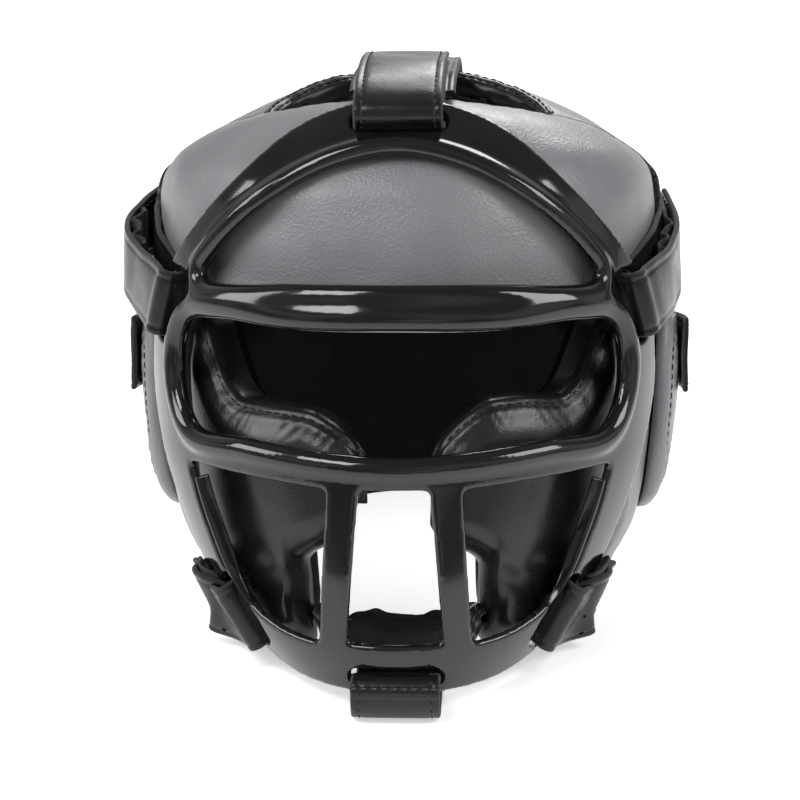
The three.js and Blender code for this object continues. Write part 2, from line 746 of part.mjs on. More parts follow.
function templeStrap() {
  const under = [wallStop(92, 79, -2), wallStop(82, 72, -2), wallStop(72, 64, -2)];
  const over = [wallStop(70, 61, -12), wallStop(78, 68, -12), wallStop(86, 75, -11), wallStop(94, 81, -9)];
  return edgeStrap(slotNamed('temple'), TEMPLE_WIDTH, under, over);
}

function jawStrap() {
  const under = [wallStop(76, -72, -2), wallStop(71, -75, -1.8), wallStop(66, -78, 1), wallStop(61, -80, 3)];
  const over = [wallStop(59, -81, -18), wallStop(65, -78, -14), wallStop(71, -75, -10), wallStop(77, -72, -7)];
  return edgeStrap(slotNamed('jaw'), STRAP_WIDTH, under, over);
}

const COVER = { color: 0x4a454c, roughness: 0.45, metalness: 0.25 };
const BLACK = { color: 0x0c0c0d, roughness: 0.35, metalness: 0 };
const SHELL = { color: 0x08090a, roughness: 0.15, metalness: 0 };

const headgear = new THREE.Group();
headgear.name = 'full_face_headgear';
const upright = new THREE.Group();
upright.rotation.x = -THREE.MathUtils.degToRad(REST_TILT_DEG);
upright.position.set(0, REST_SHIFT.y, REST_SHIFT.z);
headgear.add(upright);

function place(name, geometry, look, mirror = false) {
  const shape = mirror ? facingOut(geometry.clone().scale(-1, 1, 1)) : geometry;
  const mesh = new THREE.Mesh(shape, new THREE.MeshStandardMaterial(look));
  mesh.name = name;
  upright.add(mesh);
}

function placePair(name, geometry, look) {
  place(`${name}_right`, geometry, look);
  place(`${name}_left`, geometry, look, true);
}

place('face_cage', faceCage(), SHELL);
place('forehead_pad', foreheadPad(), COVER);
place('back_pad', backPad(), COVER);
placePair('side_pad', sidePad(), COVER);
placePair('cheek_pad', cheekPad(), BLACK);
placePair('ear_pad', earPad(), COVER);
place('chin_pad', chinPad(), BLACK);
place('crown_strap', ribbon(inMiddle(CROWN_PATH), alongX, CROWN_WIDTH, CROWN_DEPTH, 20), BLACK);
place('top_strap', ribbon(inMiddle(TOP_PATH), alongX, STRAP_WIDTH, STRAP_DEPTH, 40), BLACK);
place('chin_strap', ribbon(inMiddle(chinRows), alongX, STRAP_WIDTH, STRAP_DEPTH, 36), BLACK);
placePair('temple_strap', templeStrap(), BLACK);
placePair('jaw_strap', jawStrap(), BLACK);
place('back_strap', backStrap(), BLACK);

export default headgear;
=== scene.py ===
"""Full face sparring headgear: the looks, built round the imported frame.

Shapes are worked out in millimetres in the upright head's frame (face to -Y), then laid back to rest.
"""
import math

import bpy
import numpy as np
from mathutils import Matrix, Vector


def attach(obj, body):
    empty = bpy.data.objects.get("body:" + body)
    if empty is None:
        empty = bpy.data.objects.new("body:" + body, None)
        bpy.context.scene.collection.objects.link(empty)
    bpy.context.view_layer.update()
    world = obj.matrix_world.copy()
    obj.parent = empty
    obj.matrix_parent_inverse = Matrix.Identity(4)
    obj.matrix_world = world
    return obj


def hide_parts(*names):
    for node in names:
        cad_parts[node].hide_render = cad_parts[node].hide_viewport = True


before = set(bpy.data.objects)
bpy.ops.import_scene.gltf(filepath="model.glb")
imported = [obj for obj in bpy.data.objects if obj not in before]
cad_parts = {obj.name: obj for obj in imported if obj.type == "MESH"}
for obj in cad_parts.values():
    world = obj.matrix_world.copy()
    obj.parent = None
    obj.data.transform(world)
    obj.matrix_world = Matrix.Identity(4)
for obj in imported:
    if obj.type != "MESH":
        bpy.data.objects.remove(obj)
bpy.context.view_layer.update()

REST_TILT = math.radians(18.4)
REST_SHIFT_Y, REST_SHIFT_Z = -0.86, 84.63
CHIN_REST_Y, CHIN_REST_Z = -97, -121.4
MM = 0.001

# Padded wall: z, half width, front, back.
WALL_CENTRE_Y, WALL_POWER, EQUATOR_Z = 10, 2.1, 50
WALL_ROWS = [
    (-112, 62, -97, 40), (-100, 74, -100, 62), (-72, 93, -100, 100), (-48, 105, -101, 120),
    (-20, 110, -102, 127), (10, 112.5, -103, 130), (50, 113, -104, 130),
]
# Crown: rise, then the share of the way in to the hole at the front, side, back and inside.
HOLE_Y, HOLE_HALF_X, HOLE_HALF_Y = -2, 62, 43
RIM_FRONT, RIM_SIDE, RIM_BACK, RIM_SINK = 139, 131, 152, 0.8
CROWN_ROWS = [
    (0, 0, 0, 0, 0), (0.25, 0.012, 0.004, 0.012, 0.02), (0.5, 0.08, 0.012, 0.07, 0.09),
    (0.64, 0.18, 0.045, 0.14, 0.19), (0.75, 0.31, 0.15, 0.24, 0.32), (0.84, 0.46, 0.35, 0.38, 0.48),
    (0.925, 0.66, 0.6, 0.6, 0.7), (1, 1, 1, 1, 1),
]
CROWN_LENGTH = 120
PAD_DEPTH, SEAM_DEG, CHEEK_SEAM_DEG, FOREHEAD_LOW_Z, SEAM_GAP = 24, 93, 65, 46, 0.7
NAPE_LIFT_ROWS = [(93, 20), (112, 12), (132, 1.5), (140, 0), (180, 0)]
SIDE_LOW_ROWS = [(65, -90), (78, -78), (93, -51)]
CHEEK_INSET, CHEEK_DEPTH = 7, 24
# Cheek pad: degrees from the face, top, low.
CHEEK_ROWS = [
    (8, -14, -36), (11, -6, -48), (16, 0.5, -54), (22, 5, -58), (26, 5.7, -62.5), (28.5, 6.1, -75), (32, 6.5, -87),
    (36, 7, -95.5), (42, 8, -100), (48, 14, -99.5), (54, 27, -96.5), (60, 40, -94), (65, 45, -91),
]
EAR_DEG, EAR_Z, EAR_HALF_DEG, EAR_HALF_Z, EAR_RISE, EAR_LIP, EAR_POWER = 101, -1, 20.5, 51, 5, 6, 2.8
# Chin pad: front x, y, z, rear x, y, z.
CHIN_PAD_ROWS = [
    (0, -95, -105, 0, -60, -88.5), (18, -92.5, -103.5, 17, -60, -89), (30, -87, -96.5, 26, -60, -91),
    (35.5, -83.5, -84, 33, -59, -85),
]
CHIN_PAD_DEPTH, CHIN_PAD_TUCK = 8, 1.6

# Cage: its wall, and the share of its half width where its skin ends.
CAGE_CENTRE_Y, CAGE_POWER, CAGE_WALL, SKIN_END = 10, 2.2, 4.2, 0.985
# Its skin: z, half width, front; then its outlines in front view, right half (x, z).
CAGE_ROWS = [
    (-126, 55, -97), (-113, 64, -108), (-92, 80, -118), (-60, 100.5, -124), (-27, 112.5, -125),
    (-12, 116, -124), (42, 119, -117), (58, 118.5, -114), (90, 115.5, -109), (118, 101, -94), (144, 75, -68),
]
OUTLINE = [
    (0, 138), (24, 134.5), (46, 124.5), (72, 102), (94, 77), (103.5, 62), (109, 44), (111.3, 22), (110.3, 6),
    (106, -15), (99.7, -35), (88, -63), (77.5, -82), (67.5, -96), (57, -103.5), (44, -110), (20, -114), (0, -114.8),
]
CRESCENT = [(0, 116), (25, 111.5), (47, 101), (66, 87), (80, 72.5), (86, 63), (83, 58.5), (45, 59), (0, 59)]
EYE_SLOT = [(0, 41.5), (46, 42), (78, 45), (92, 42.8), (98, 22), (89.5, -3), (64, -6.2), (28, -10.4), (0, -12)]
# Openings with corners: each row is one smooth side, from a corner to the next.
SIDE_OPENING = [
    [(28.6, -24.8), (60, -21.4), (91.6, -18.4)],
    [(91.6, -18.4), (88.2, -32), (82.7, -48.6), (75.3, -66.8), (63.8, -81.2), (50.2, -88.9), (33, -92.6)],
    [(33, -92.6), (28.6, -24.8)],
]
MIDDLE_OPENING = [
    [(-15.2, -24.7), (0, -24.9), (15.2, -24.7)], [(15.2, -24.7), (20.9, -91.6)],
    [(20.9, -91.6), (0, -92.2), (-20.9, -91.6)], [(-20.9, -91.6), (-15.2, -24.7)],
]
CORNER_ROUND = 2.6
EYE_BEAD, EYE_BEAD_OUT = 5, 4.4
CRESCENT_BEAD, CRESCENT_BEAD_OUT = 4, 3.2
SLOT_ACROSS = 7.5
# Slots: x, z, along x, along z, length.
SLOTS = {
    "top": (0, 127.5, 1, 0, 40), "chin": (0, -106.6, 1, 0, 40),
    "temple": (99.9, 47.6, 0.26, -0.97, 32), "jaw": (67.6, -84, -0.469, -0.883, 37),
}


def monotone(rows, column):
    """Smooth curve through a table's first column and another, with no overshoot, held level past its ends."""
    xs = np.array([row[0] for row in rows], float)
    ys = np.array([row[column] for row in rows], float)
    slopes = np.diff(ys) / np.diff(xs)
    before, after = slopes[:-1], slopes[1:]
    same = before * after > 0
    middle = np.where(same, 2 * before * after / np.where(same, before + after, 1), 0)
    tangents = np.concatenate([slopes[:1], middle, slopes[-1:]])

    def at(x):
        x = np.asarray(x, float)
        i = np.clip(np.searchsorted(xs, x) - 1, 0, len(xs) - 2)
        span = xs[i + 1] - xs[i]
        t = np.clip((x - xs[i]) / span, 0, 1)
        return (
            (2 * t**3 - 3 * t**2 + 1) * ys[i] + (t**3 - 2 * t**2 + t) * span * tangents[i]
            + (3 * t**2 - 2 * t**3) * ys[i + 1] + (t**3 - t**2) * span * tangents[i + 1]
        )

    return at


wall_half, wall_front, wall_back = (monotone(WALL_ROWS, k) for k in (1, 2, 3))
crown_front, crown_side, crown_back, crown_inside = (monotone(CROWN_ROWS, k) for k in (1, 2, 3, 4))
cage_half, cage_front = (monotone(CAGE_ROWS, k) for k in (1, 2))
nape_lift, side_low = monotone(NAPE_LIFT_ROWS, 1), monotone(SIDE_LOW_ROWS, 1)
cheek_top, cheek_low = monotone(CHEEK_ROWS, 1), monotone(CHEEK_ROWS, 2)


def mix(a, b, t):
    return a + (b - a) * t


def signed_power(v, p):
    return np.sign(v) * np.abs(v) ** p


def unit(v):
    return v / np.maximum(np.linalg.norm(v, axis=-1, keepdims=True), 1e-9)


def smoothstep(x, low, high):
    t = np.clip((x - low) / (high - low), 0, 1)
    return t * t * (3 - 2 * t)


def floats(*values):
    return np.broadcast_arrays(*(np.asarray(value, float) for value in values))


def floor_z(y):
    return CHIN_REST_Z + (y - CHIN_REST_Y) * math.tan(REST_TILT)


def to_row(points):
    """Upright head's frame in millimetres to the row's frame in metres."""
    p = np.asarray(points, float)
    y = p[..., 1] * math.cos(REST_TILT) + p[..., 2] * math.sin(REST_TILT) + REST_SHIFT_Y
    z = -p[..., 1] * math.sin(REST_TILT) + p[..., 2] * math.cos(REST_TILT) + REST_SHIFT_Z
    return np.stack([p[..., 0], y, z], -1) * MM


def rim_z(deg, depth):
    cos = np.cos(np.radians(deg))
    front = mix(RIM_SIDE, RIM_FRONT, cos * cos)
    back = mix(RIM_SIDE, RIM_BACK, np.maximum(-cos, 0) ** 1.3)
    return np.where(cos > 0, front, back) - RIM_SINK * depth


def wall_point(deg, level, depth):
    """Point of the padded wall: level is mm below the equator, or 0 to 1 up the crown; depth is inwards."""
    deg, level, depth = floats(deg, level, depth)
    sin, cos = np.sin(np.radians(deg)), np.cos(np.radians(deg))
    z = EQUATOR_Z + np.minimum(level, 0)
    reach = np.where(cos > 0, WALL_CENTRE_Y - wall_front(z), wall_back(z) - WALL_CENTRE_Y)
    x = (wall_half(z) - depth) * signed_power(sin, 2 / WALL_POWER)
    y = WALL_CENTRE_Y - (reach - depth) * signed_power(cos, 2 / WALL_POWER)
    rise = np.maximum(level, 0)
    facing = np.where(cos > 0, crown_front(rise), crown_back(rise))
    cover = mix(crown_side(rise), facing, cos * cos)
    share = mix(cover, crown_inside(rise), np.clip(depth / PAD_DEPTH, 0, 1))
    return np.stack([
        mix(x, HOLE_HALF_X * sin, share),
        mix(y, HOLE_Y - HOLE_HALF_Y * cos, share),
        np.where(level > 0, mix(EQUATOR_Z, rim_z(deg, depth), rise), z),
    ], -1)


def on_wall(deg, z, depth):
    deg, z, depth = floats(deg, z, depth)
    level = np.where(z <= EQUATOR_Z, z - EQUATOR_Z, (z - EQUATOR_Z) / (rim_z(deg, depth) - EQUATOR_Z))
    return wall_point(deg, level, depth)


def wall_normal(deg, z):
    along = on_wall(deg + 0.5, z, 0) - on_wall(deg - 0.5, z, 0)
    return unit(np.cross(along, on_wall(deg, z + 0.5, 0) - on_wall(deg, z - 0.5, 0)))


def cage_point(x, z):
    share = np.minimum(np.abs(x) / cage_half(z), SKIN_END)
    bow = (1 - share**CAGE_POWER) ** (1 / CAGE_POWER)
    return np.stack(np.broadcast_arrays(x, CAGE_CENTRE_Y - (CAGE_CENTRE_Y - cage_front(z)) * bow, z), -1)


def cage_normal(x, z):
    along = cage_point(x + 0.5, z) - cage_point(x - 0.5, z)
    return unit(np.cross(along, cage_point(x, z + 0.5) - cage_point(x, z - 0.5)))


PATH_STEPS = 24


def smooth_path(points, count, closed=False):
    """Centripetal spline through points, resampled to evenly spaced ones."""
    p = np.asarray(points, float)
    before, after = (p[-1:], p[:2]) if closed else (2 * p[:1] - p[1:2], 2 * p[-1:] - p[-2:-1])
    p = np.concatenate([before, p, after])
    fine = []
    for a, b, c, d in zip(p[:-3], p[1:-2], p[2:-1], p[3:]):
        t1, t2, t3 = np.cumsum([max(np.linalg.norm(step), 1e-4) ** 0.5 for step in (b - a, c - b, d - c)])
        t = np.linspace(t1, t2, PATH_STEPS, endpoint=False)[:, None]
        a1 = a + (b - a) * t / t1
        a2 = b + (c - b) * (t - t1) / (t2 - t1)
        a3 = c + (d - c) * (t - t2) / (t3 - t2)
        b1 = a1 + (a2 - a1) * t / t2
        b2 = a2 + (a3 - a2) * (t - t1) / (t3 - t1)
        fine.append(b1 + (b2 - b1) * (t - t1) / (t2 - t1))
    return resample(np.concatenate(fine + [p[-2:-1]]), count, closed)


def resample(path, count, closed=False):
    along = np.concatenate([[0], np.cumsum(np.linalg.norm(np.diff(path, axis=0), axis=1))])
    at = np.linspace(0, along[-1], count, endpoint=not closed)
    return np.stack([np.interp(at, along, path[:, k]) for k in range(path.shape[1])], 1)


def waves(points, scale, seed, octaves=3):
    """Smooth made-up relief, about -1 to 1, the same on each run."""
    rng = np.random.default_rng(seed)
    total = np.zeros(points.shape[:-1])
    for octave in range(octaves):
        for _ in range(5):
            turn = unit(rng.normal(size=3)) * 2 * math.pi / scale * 1.7**octave
            total += np.sin(points @ turn + rng.uniform(0, 6.28)) * 0.32 / 1.6**octave
    return total


class Parts:
    """Bodies gathered into one mesh, each face with the number of its material."""

    def __init__(self):
        self.points, self.faces, self.which, self.count = [], [], [], 0

    def add(self, points, faces, which=0):
        points = np.asarray(points, float).reshape(-1, 3)
        self.points.append(points)
        self.faces += [[i + self.count for i in face] for face in faces]
        self.which += list(which) if np.ndim(which) else [which] * len(faces)
        self.count += len(points)
        return self

    def join(self, other, which):
        return self.add(np.concatenate(other.points), other.faces, which)


def place(name, data):
    made = bpy.data.objects.new(name, data)
    bpy.context.scene.collection.objects.link(made)
    return made


def make(name, parts, materials, replaces=(), mirror=False):
    """Object from parts in the upright head's frame, laid back to rest and riding on the one body."""
    points = np.concatenate(parts.points)
    faces = parts.faces
    if mirror:
        points = points * [-1, 1, 1]
        faces = [face[::-1] for face in faces]
    mesh = bpy.data.meshes.new(name)
    mesh.from_pydata(to_row(points).tolist(), [], faces)
    mesh.validate()
    for m in materials:
        mesh.materials.append(m)
    mesh.polygons.foreach_set("material_index", np.array(parts.which, np.int32))
    mesh.polygons.foreach_set("use_smooth", np.ones(len(mesh.polygons), bool))
    mesh.update()
    obj = place(name, mesh)
    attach(obj, "root")
    if replaces:
        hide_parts(*replaces)
    return obj


def grid_faces(rows, columns, wrap=False, base=0):
    faces = []
    for i in range(rows - 1):
        for j in range(columns if wrap else columns - 1):
            k = (j + 1) % columns
            a, b = base + i * columns, base + (i + 1) * columns
            faces.append([a + j, a + k, b + k, b + j])
    return faces


def facing_out(points, faces):
    """The same faces, turned if they make a body inside out."""
    p = np.asarray(points).reshape(-1, 3)
    f = np.array([face[:3] for face in faces] + [[face[0], face[2], face[-1]] for face in faces if len(face) == 4])
    volume = np.einsum("ij,ij->i", p[f[:, 0]], np.cross(p[f[:, 1]], p[f[:, 2]])).sum()
    return [face[::-1] for face in faces] if volume < 0 else faces


def shell(outer, inner):
    """Closed body between two grids: faces of material 0 outside, 1 inside, 2 on the walls between."""
    rows, columns = outer.shape[:2]
    n = rows * columns
    faces = grid_faces(rows, columns)
    which = [0] * len(faces)
    back = [face[::-1] for face in grid_faces(rows, columns, base=n)]
    faces += back
    which += [1] * len(back)
    last = (rows - 1) * columns
    for j in range(columns - 1):
        faces.append([j + 1, j, n + j, n + j + 1])
        faces.append([last + j, last + j + 1, n + last + j + 1, n + last + j])
    for i in range(rows - 1):
        a, b = i * columns, (i + 1) * columns
        c, d = a + columns - 1, b + columns - 1
        faces.append([a, b, n + b, n + a])
        faces.append([d, c, n + c, n + d])
    which += [2] * (len(faces) - len(which))
    points = np.concatenate([outer.reshape(-1, 3), inner.reshape(-1, 3)])
    return points, facing_out(points, faces), which


def swept(rings):
    """Closed body through rings of points, capped at both ends."""
    count, sides = rings.shape[:2]
    faces = grid_faces(count, sides, wrap=True)
    faces += [list(range(sides))[::-1], [(count - 1) * sides + j for j in range(sides)]]
    points = rings.reshape(-1, 3)
    return points, facing_out(points, faces)


def tube(path, radius, sides, flatten=1.0, side=None):
    """Tube along a path; flatten thins it along side."""
    tangent = unit(np.gradient(path, axis=0))
    if side is None:
        side = np.cross(tangent, [0.31, 0.22, 0.92])
    side = unit(side - tangent * (side * tangent).sum(1, keepdims=True))
    over = np.cross(tangent, side)
    turn = np.arange(sides) / sides * 2 * math.pi
    radius = np.broadcast_to(np.asarray(radius, float), (len(path),))[:, None, None]
    return swept(path[:, None] + radius * (
        side[:, None] * np.cos(turn)[None, :, None] * flatten + over[:, None] * np.sin(turn)[None, :, None]))


STITCH_LENGTH, STITCH_PITCH, STITCH_RADIUS, STITCH_BOW = 3.1, 4.3, 0.42, 0.5
STITCH_STEPS, STITCH_SIDES = 8, 5


def stitches(parts, path, which, normal):
    """A row of thread stitches along a path, each a low bow that dips in at its ends."""
    length = np.linalg.norm(np.diff(path, axis=0), axis=1).sum()
    count = max(2, int(length / STITCH_PITCH))
    dense = resample(np.concatenate([path, normal], 1), count * STITCH_STEPS + 1)
    reach = int(round(STITCH_STEPS * STITCH_LENGTH / STITCH_PITCH))
    bow = np.sin(np.linspace(0, math.pi, reach + 1))[:, None]
    thick = STITCH_RADIUS * (0.55 + 0.45 * bow[:, 0])
    for i in range(count):
        part = dense[i * STITCH_STEPS: i * STITCH_STEPS + reach + 1]
        line = part[:, :3] + unit(part[:, 3:]) * STITCH_BOW * (bow - 0.5)
        parts.add(*tube(line[::2], thick[::2], STITCH_SIDES), which)


EDGE_STEPS = 8


def edge_steps(length, first, last, step):
    """Places from 0 to 1 along a length, close together over its rounded first and last stretches."""
    bend = 1 - np.cos(np.linspace(0, math.pi / 2, EDGE_STEPS))
    count = max(2, int((length - first - last) / step))
    middle = np.linspace(first, length - last, count + 1)[1:-1]
    return np.concatenate([bend * first, middle, (length - bend * last)[::-1]]) / length


def level_length(level):
    return np.where(level > 0, level * CROWN_LENGTH, level)


def length_level(mm):
    return np.where(mm > 0, mm / CROWN_LENGTH, mm)


def edge_gaps(points, axis):
    """Distances of a grid's points from its first and last rows along an axis."""
    steps = np.linalg.norm(np.diff(points, axis=axis), axis=-1)
    zero = np.zeros_like(np.take(steps, [0], axis))
    along = np.concatenate([zero, np.cumsum(steps, axis)], axis)
    return along, np.take(along, [-1], axis) - along


# Lining's rounding as a share of the cover's.
INNER_ROUND = 0.7


def cushion(start, stop, low, high, near, depth, lengths, rounds, relief, step=2.4):
    """Padded section of the wall between two angles; rounds are the radii at its start, stop, low and high edges.

    relief gives how far its cover stands proud, from the cover's points and their distances from those edges.
    """
    us = edge_steps(lengths[0], rounds[0], rounds[1], step)
    vs = edge_steps(lengths[1], rounds[2], rounds[3], step)
    u, v = np.meshgrid(us, vs)
    deg = mix(start, stop, u)
    level = length_level(mix(level_length(low(deg)), level_length(high(deg)), v))
    cover = wall_point(deg, level, near)
    gaps = (*edge_gaps(cover, 1), *edge_gaps(cover, 0))
    shares = [np.clip(1 - g / r, 0, 1) for g, r in zip(gaps, rounds)]
    across, along = np.maximum(shares[0], shares[1]), np.maximum(shares[2], shares[3])
    out = np.minimum(np.hypot(across, along), 1)
    weight = sum(s**2 for s in shares)
    radius = sum(r * s**2 for s, r in zip(shares, rounds)) / np.maximum(weight, 1e-9)
    drop = radius * (1 - np.sqrt(1 - out**2))
    outer = wall_point(deg, level, near + drop - relief(cover, gaps))
    inner = wall_point(deg, level, near + depth - INNER_ROUND * drop)
    return outer, inner, deg, gaps


def node_setup(name):
    made = bpy.data.materials.new(name)
    made.use_nodes = True
    tree = made.node_tree
    shader = tree.nodes["Principled BSDF"]
    where = tree.nodes.new("ShaderNodeTexCoord")
    return made, tree, shader, where.outputs["Object"]


def set_sockets(node, **sockets):
    for key, value in sockets.items():
        node.inputs[key.replace("_", " ")].default_value = value


def texture(tree, where, kind, **sockets):
    node = tree.nodes.new(kind)
    tree.links.new(where, node.inputs["Vector"])
    set_sockets(node, **sockets)
    return node


def ranged(tree, value, low, high, low_to, high_to):
    node = tree.nodes.new("ShaderNodeMapRange")
    tree.links.new(value, node.inputs["Value"])
    set_sockets(node, From_Min=low, From_Max=high, To_Min=low_to, To_Max=high_to)
    return node.outputs["Result"]


def two_colours(tree, value, first, second, low=0.3, high=0.7):
    node = tree.nodes.new("ShaderNodeMix")
    node.data_type = "RGBA"
    tree.links.new(ranged(tree, value, low, high, 0, 1), node.inputs[0])
    node.inputs[6].default_value = (*first, 1)
    node.inputs[7].default_value = (*second, 1)
    return node.outputs[2]


def bumped(tree, height, strength, distance, below=None):
    node = tree.nodes.new("ShaderNodeBump")
    set_sockets(node, Strength=strength, Distance=distance)
    tree.links.new(height, node.inputs["Height"])
    if below is not None:
        tree.links.new(below, node.inputs["Normal"])
    return node.outputs["Normal"]


def leather(name, first, second, rough, grain, strength, crease=0.0, **sockets):
    """Coated leather: pebble grain of grain cells a metre, cloudy colour, rubbed patches and fine creases."""
    made, tree, shader, where = node_setup(name)
    cloud = texture(tree, where, "ShaderNodeTexNoise", Scale=26, Detail=3)
    pebble = texture(tree, where, "ShaderNodeTexVoronoi", Scale=grain, Randomness=1)
    pebble.feature = "SMOOTH_F1"
    fine = texture(tree, where, "ShaderNodeTexNoise", Scale=grain * 2.3, Detail=2)
    rub = texture(tree, where, "ShaderNodeTexNoise", Scale=90, Detail=4)
    tree.links.new(two_colours(tree, cloud.outputs["Fac"], first, second), shader.inputs["Base Color"])
    gloss = ranged(tree, rub.outputs["Fac"], 0.3, 0.7, rough - 0.05, rough + 0.07)
    tree.links.new(gloss, shader.inputs["Roughness"])
    normal = bumped(tree, pebble.outputs["Distance"], strength, 0.0004)
    normal = bumped(tree, fine.outputs["Fac"], strength * 0.5, 0.0002, normal)
    if crease:
        fold = texture(tree, where, "ShaderNodeTexNoise", Scale=75, Detail=3, Distortion=1.4)
        normal = bumped(tree, fold.outputs["Fac"], crease, 0.002, normal)
    tree.links.new(normal, shader.inputs["Normal"])
    set_sockets(shader, **sockets)
    return made


def moulded(name, first, second, rough):
    """Glossy moulded plastic: faint orange peel, hazy patches and hairline scuffs."""
    made, tree, shader, where = node_setup(name)
    haze = texture(tree, where, "ShaderNodeTexNoise", Scale=22, Detail=4)
    peel = texture(tree, where, "ShaderNodeTexNoise", Scale=160, Detail=1)
    scuff = texture(tree, where, "ShaderNodeTexNoise", Scale=420, Detail=2, Distortion=3)
    tree.links.new(two_colours(tree, haze.outputs["Fac"], first, second), shader.inputs["Base Color"])
    gloss = ranged(tree, haze.outputs["Fac"], 0.3, 0.75, rough - 0.03, rough + 0.06)
    tree.links.new(gloss, shader.inputs["Roughness"])
    normal = bumped(tree, peel.outputs["Fac"], 0.014, 0.001)
    normal = bumped(tree, scuff.outputs["Fac"], 0.02, 0.0003, normal)
    tree.links.new(normal, shader.inputs["Normal"])
    set_sockets(shader, Coat_Weight=0.2, Coat_Roughness=0.06)
    return made


def woven(name, first, second, rough, threads, strength, sheen=0.25):
    """Matt cloth or thread: crossing threads, a nap and some fluff."""
    made, tree, shader, where = node_setup(name)
    warp = texture(tree, where, "ShaderNodeTexWave", Scale=threads, Distortion=1.5)
    fluff = texture(tree, where, "ShaderNodeTexNoise", Scale=threads * 2, Detail=4)
    tree.links.new(two_colours(tree, fluff.outputs["Fac"], first, second), shader.inputs["Base Color"])
    normal = bumped(tree, warp.outputs["Fac"], strength, 0.0004)
    normal = bumped(tree, fluff.outputs["Fac"], strength, 0.0006, normal)
    tree.links.new(normal, shader.inputs["Normal"])
    set_sockets(shader, Roughness=rough, Sheen_Weight=sheen, Specular_IOR_Level=0.15)
    return made


cage_plastic = moulded("cage_plastic", (0.004, 0.0042, 0.0042), (0.007, 0.007, 0.0072), 0.1)
grey_leather = leather(
    "grey_leather", (0.16, 0.152, 0.165), (0.188, 0.18, 0.192), 0.38, 950, 0.5, Specular_IOR_Level=0.6)
black_leather = leather(
    "black_leather", (0.007, 0.007, 0.0075), (0.012, 0.012, 0.0125), 0.29, 1100, 0.14, 0.025, Specular_IOR_Level=0.45)
strap_leather = leather(
    "strap_leather", (0.007, 0.0072, 0.0075), (0.012, 0.012, 0.0123), 0.3, 900, 0.16, 0.06, Specular_IOR_Level=0.32)
raw_edge = woven("raw_edge", (0.014, 0.014, 0.0145), (0.03, 0.03, 0.031), 0.8, 900, 0.5)
thread = woven("thread", (0.009, 0.009, 0.0095), (0.018, 0.018, 0.019), 0.7, 2600, 0.4)
lining = woven("lining", (0.0025, 0.0025, 0.0028), (0.005, 0.005, 0.0055), 0.8, 700, 0.4, 0)
hook_loop = woven("hook_loop", (0.006, 0.006, 0.0065), (0.018, 0.018, 0.0185), 0.9, 1500, 0.6)


# Cage

# Grid of distances: step, corners, how far from the skin it is worked out, and its value beyond.
CAGE_STEP, CAGE_BAND, CAGE_FAR = 1.3, 13, 9.0
CAGE_LOW, CAGE_HIGH = np.array([-2.5 * CAGE_STEP, -135, -121]), np.array([116.0, -28, 145])
# Rounded edges of the wall and, in front view, of the upper and lower openings.
CAGE_EDGE, UPPER_ROUND, LOWER_ROUND = 1.7, 2, 2.5
# Fillets between eye slot and crescent, between their beads, and between beads and wall; the beads' sink into it.
EYE_BLEND, BROW_BLEND, CAGE_BLEND, BEAD_SINK = 0.5, 9, 2.6, 0.45 * CAGE_WALL
# Limits in the search for the nearest point of the skin: share of the half width, z, step.
FOOT_END, FOOT_LOW_Z, FOOT_HIGH_Z, FOOT_STEP = 0.982, -125.5, 143.5, 4


def mirror_loop(half, count):
    """Closed smooth outline from its right half."""
    return smooth_path(half + [(-x, z) for x, z in half[::-1] if x > 0], count, closed=True)


def cornered_loop(sides, step=0.6):
    """Closed outline of smooth sides that meet in slightly rounded corners."""
    path = np.concatenate([smooth_path(side, 200)[:-1] for side in sides])
    length = np.linalg.norm(np.diff(path, axis=0), axis=1).sum()
    path = resample(np.concatenate([path, path[:1]]), int(length / step), closed=True)
    reach = int(CORNER_ROUND / step)
    for _ in range(2):
        path = sum(np.roll(path, k, 0) for k in range(-reach, reach + 1)) / (2 * reach + 1)
    return path


def slot_loop(x, z, along_x, along_z, length):
    """Outline of a round-ended slot."""
    turn = np.linspace(0, 2 * math.pi, 49)[:-1]
    reach = (length - SLOT_ACROSS) / 2
    run = np.cos(turn) * SLOT_ACROSS / 2 + np.sign(np.cos(turn)) * reach
    rise = np.sin(turn) * SLOT_ACROSS / 2
    around = np.stack([x + run * along_x - rise * along_z, z + run * along_z + rise * along_x], 1)
    return resample(around, 90, True)


def inside(points, outline):
    """Which (x, z) points lie inside a closed outline."""
    odd = np.zeros(len(points), bool)
    for (x0, z0), (x1, z1) in zip(outline, np.roll(outline, -1, 0)):
        crosses = (z0 > points[:, 1]) != (z1 > points[:, 1])
        at = x0 + (points[:, 1] - z0) * (x1 - x0) / (z1 - z0 if z1 != z0 else 1e-9)
        odd ^= crosses & (points[:, 0] < at)
    return odd


CHUNK = 40000


def outline_distance(foot, outline):
    """Distance over the skin from foot points to an outline, negative inside it."""
    rail = cage_point(outline[:, 0], outline[:, 1])
    after = np.roll(rail, -1, 0)
    nearest = np.empty(len(foot), int)
    square = (rail**2).sum(1)
    for a in range(0, len(foot), CHUNK):
        nearest[a:a + CHUNK] = (square - 2 * foot[a:a + CHUNK] @ rail.T).argmin(1)

    def to_segment(index):
        start, run = rail[index], after[index] - rail[index]
        t = np.clip(((foot - start) * run).sum(1) / (run**2).sum(1), 0, 1)
        return np.linalg.norm(foot - start - run * t[:, None], axis=1)

    distance = np.minimum(to_segment(nearest), to_segment((nearest - 1) % len(rail)))
    return np.where(inside(foot[:, [0, 2]], outline), -distance, distance)


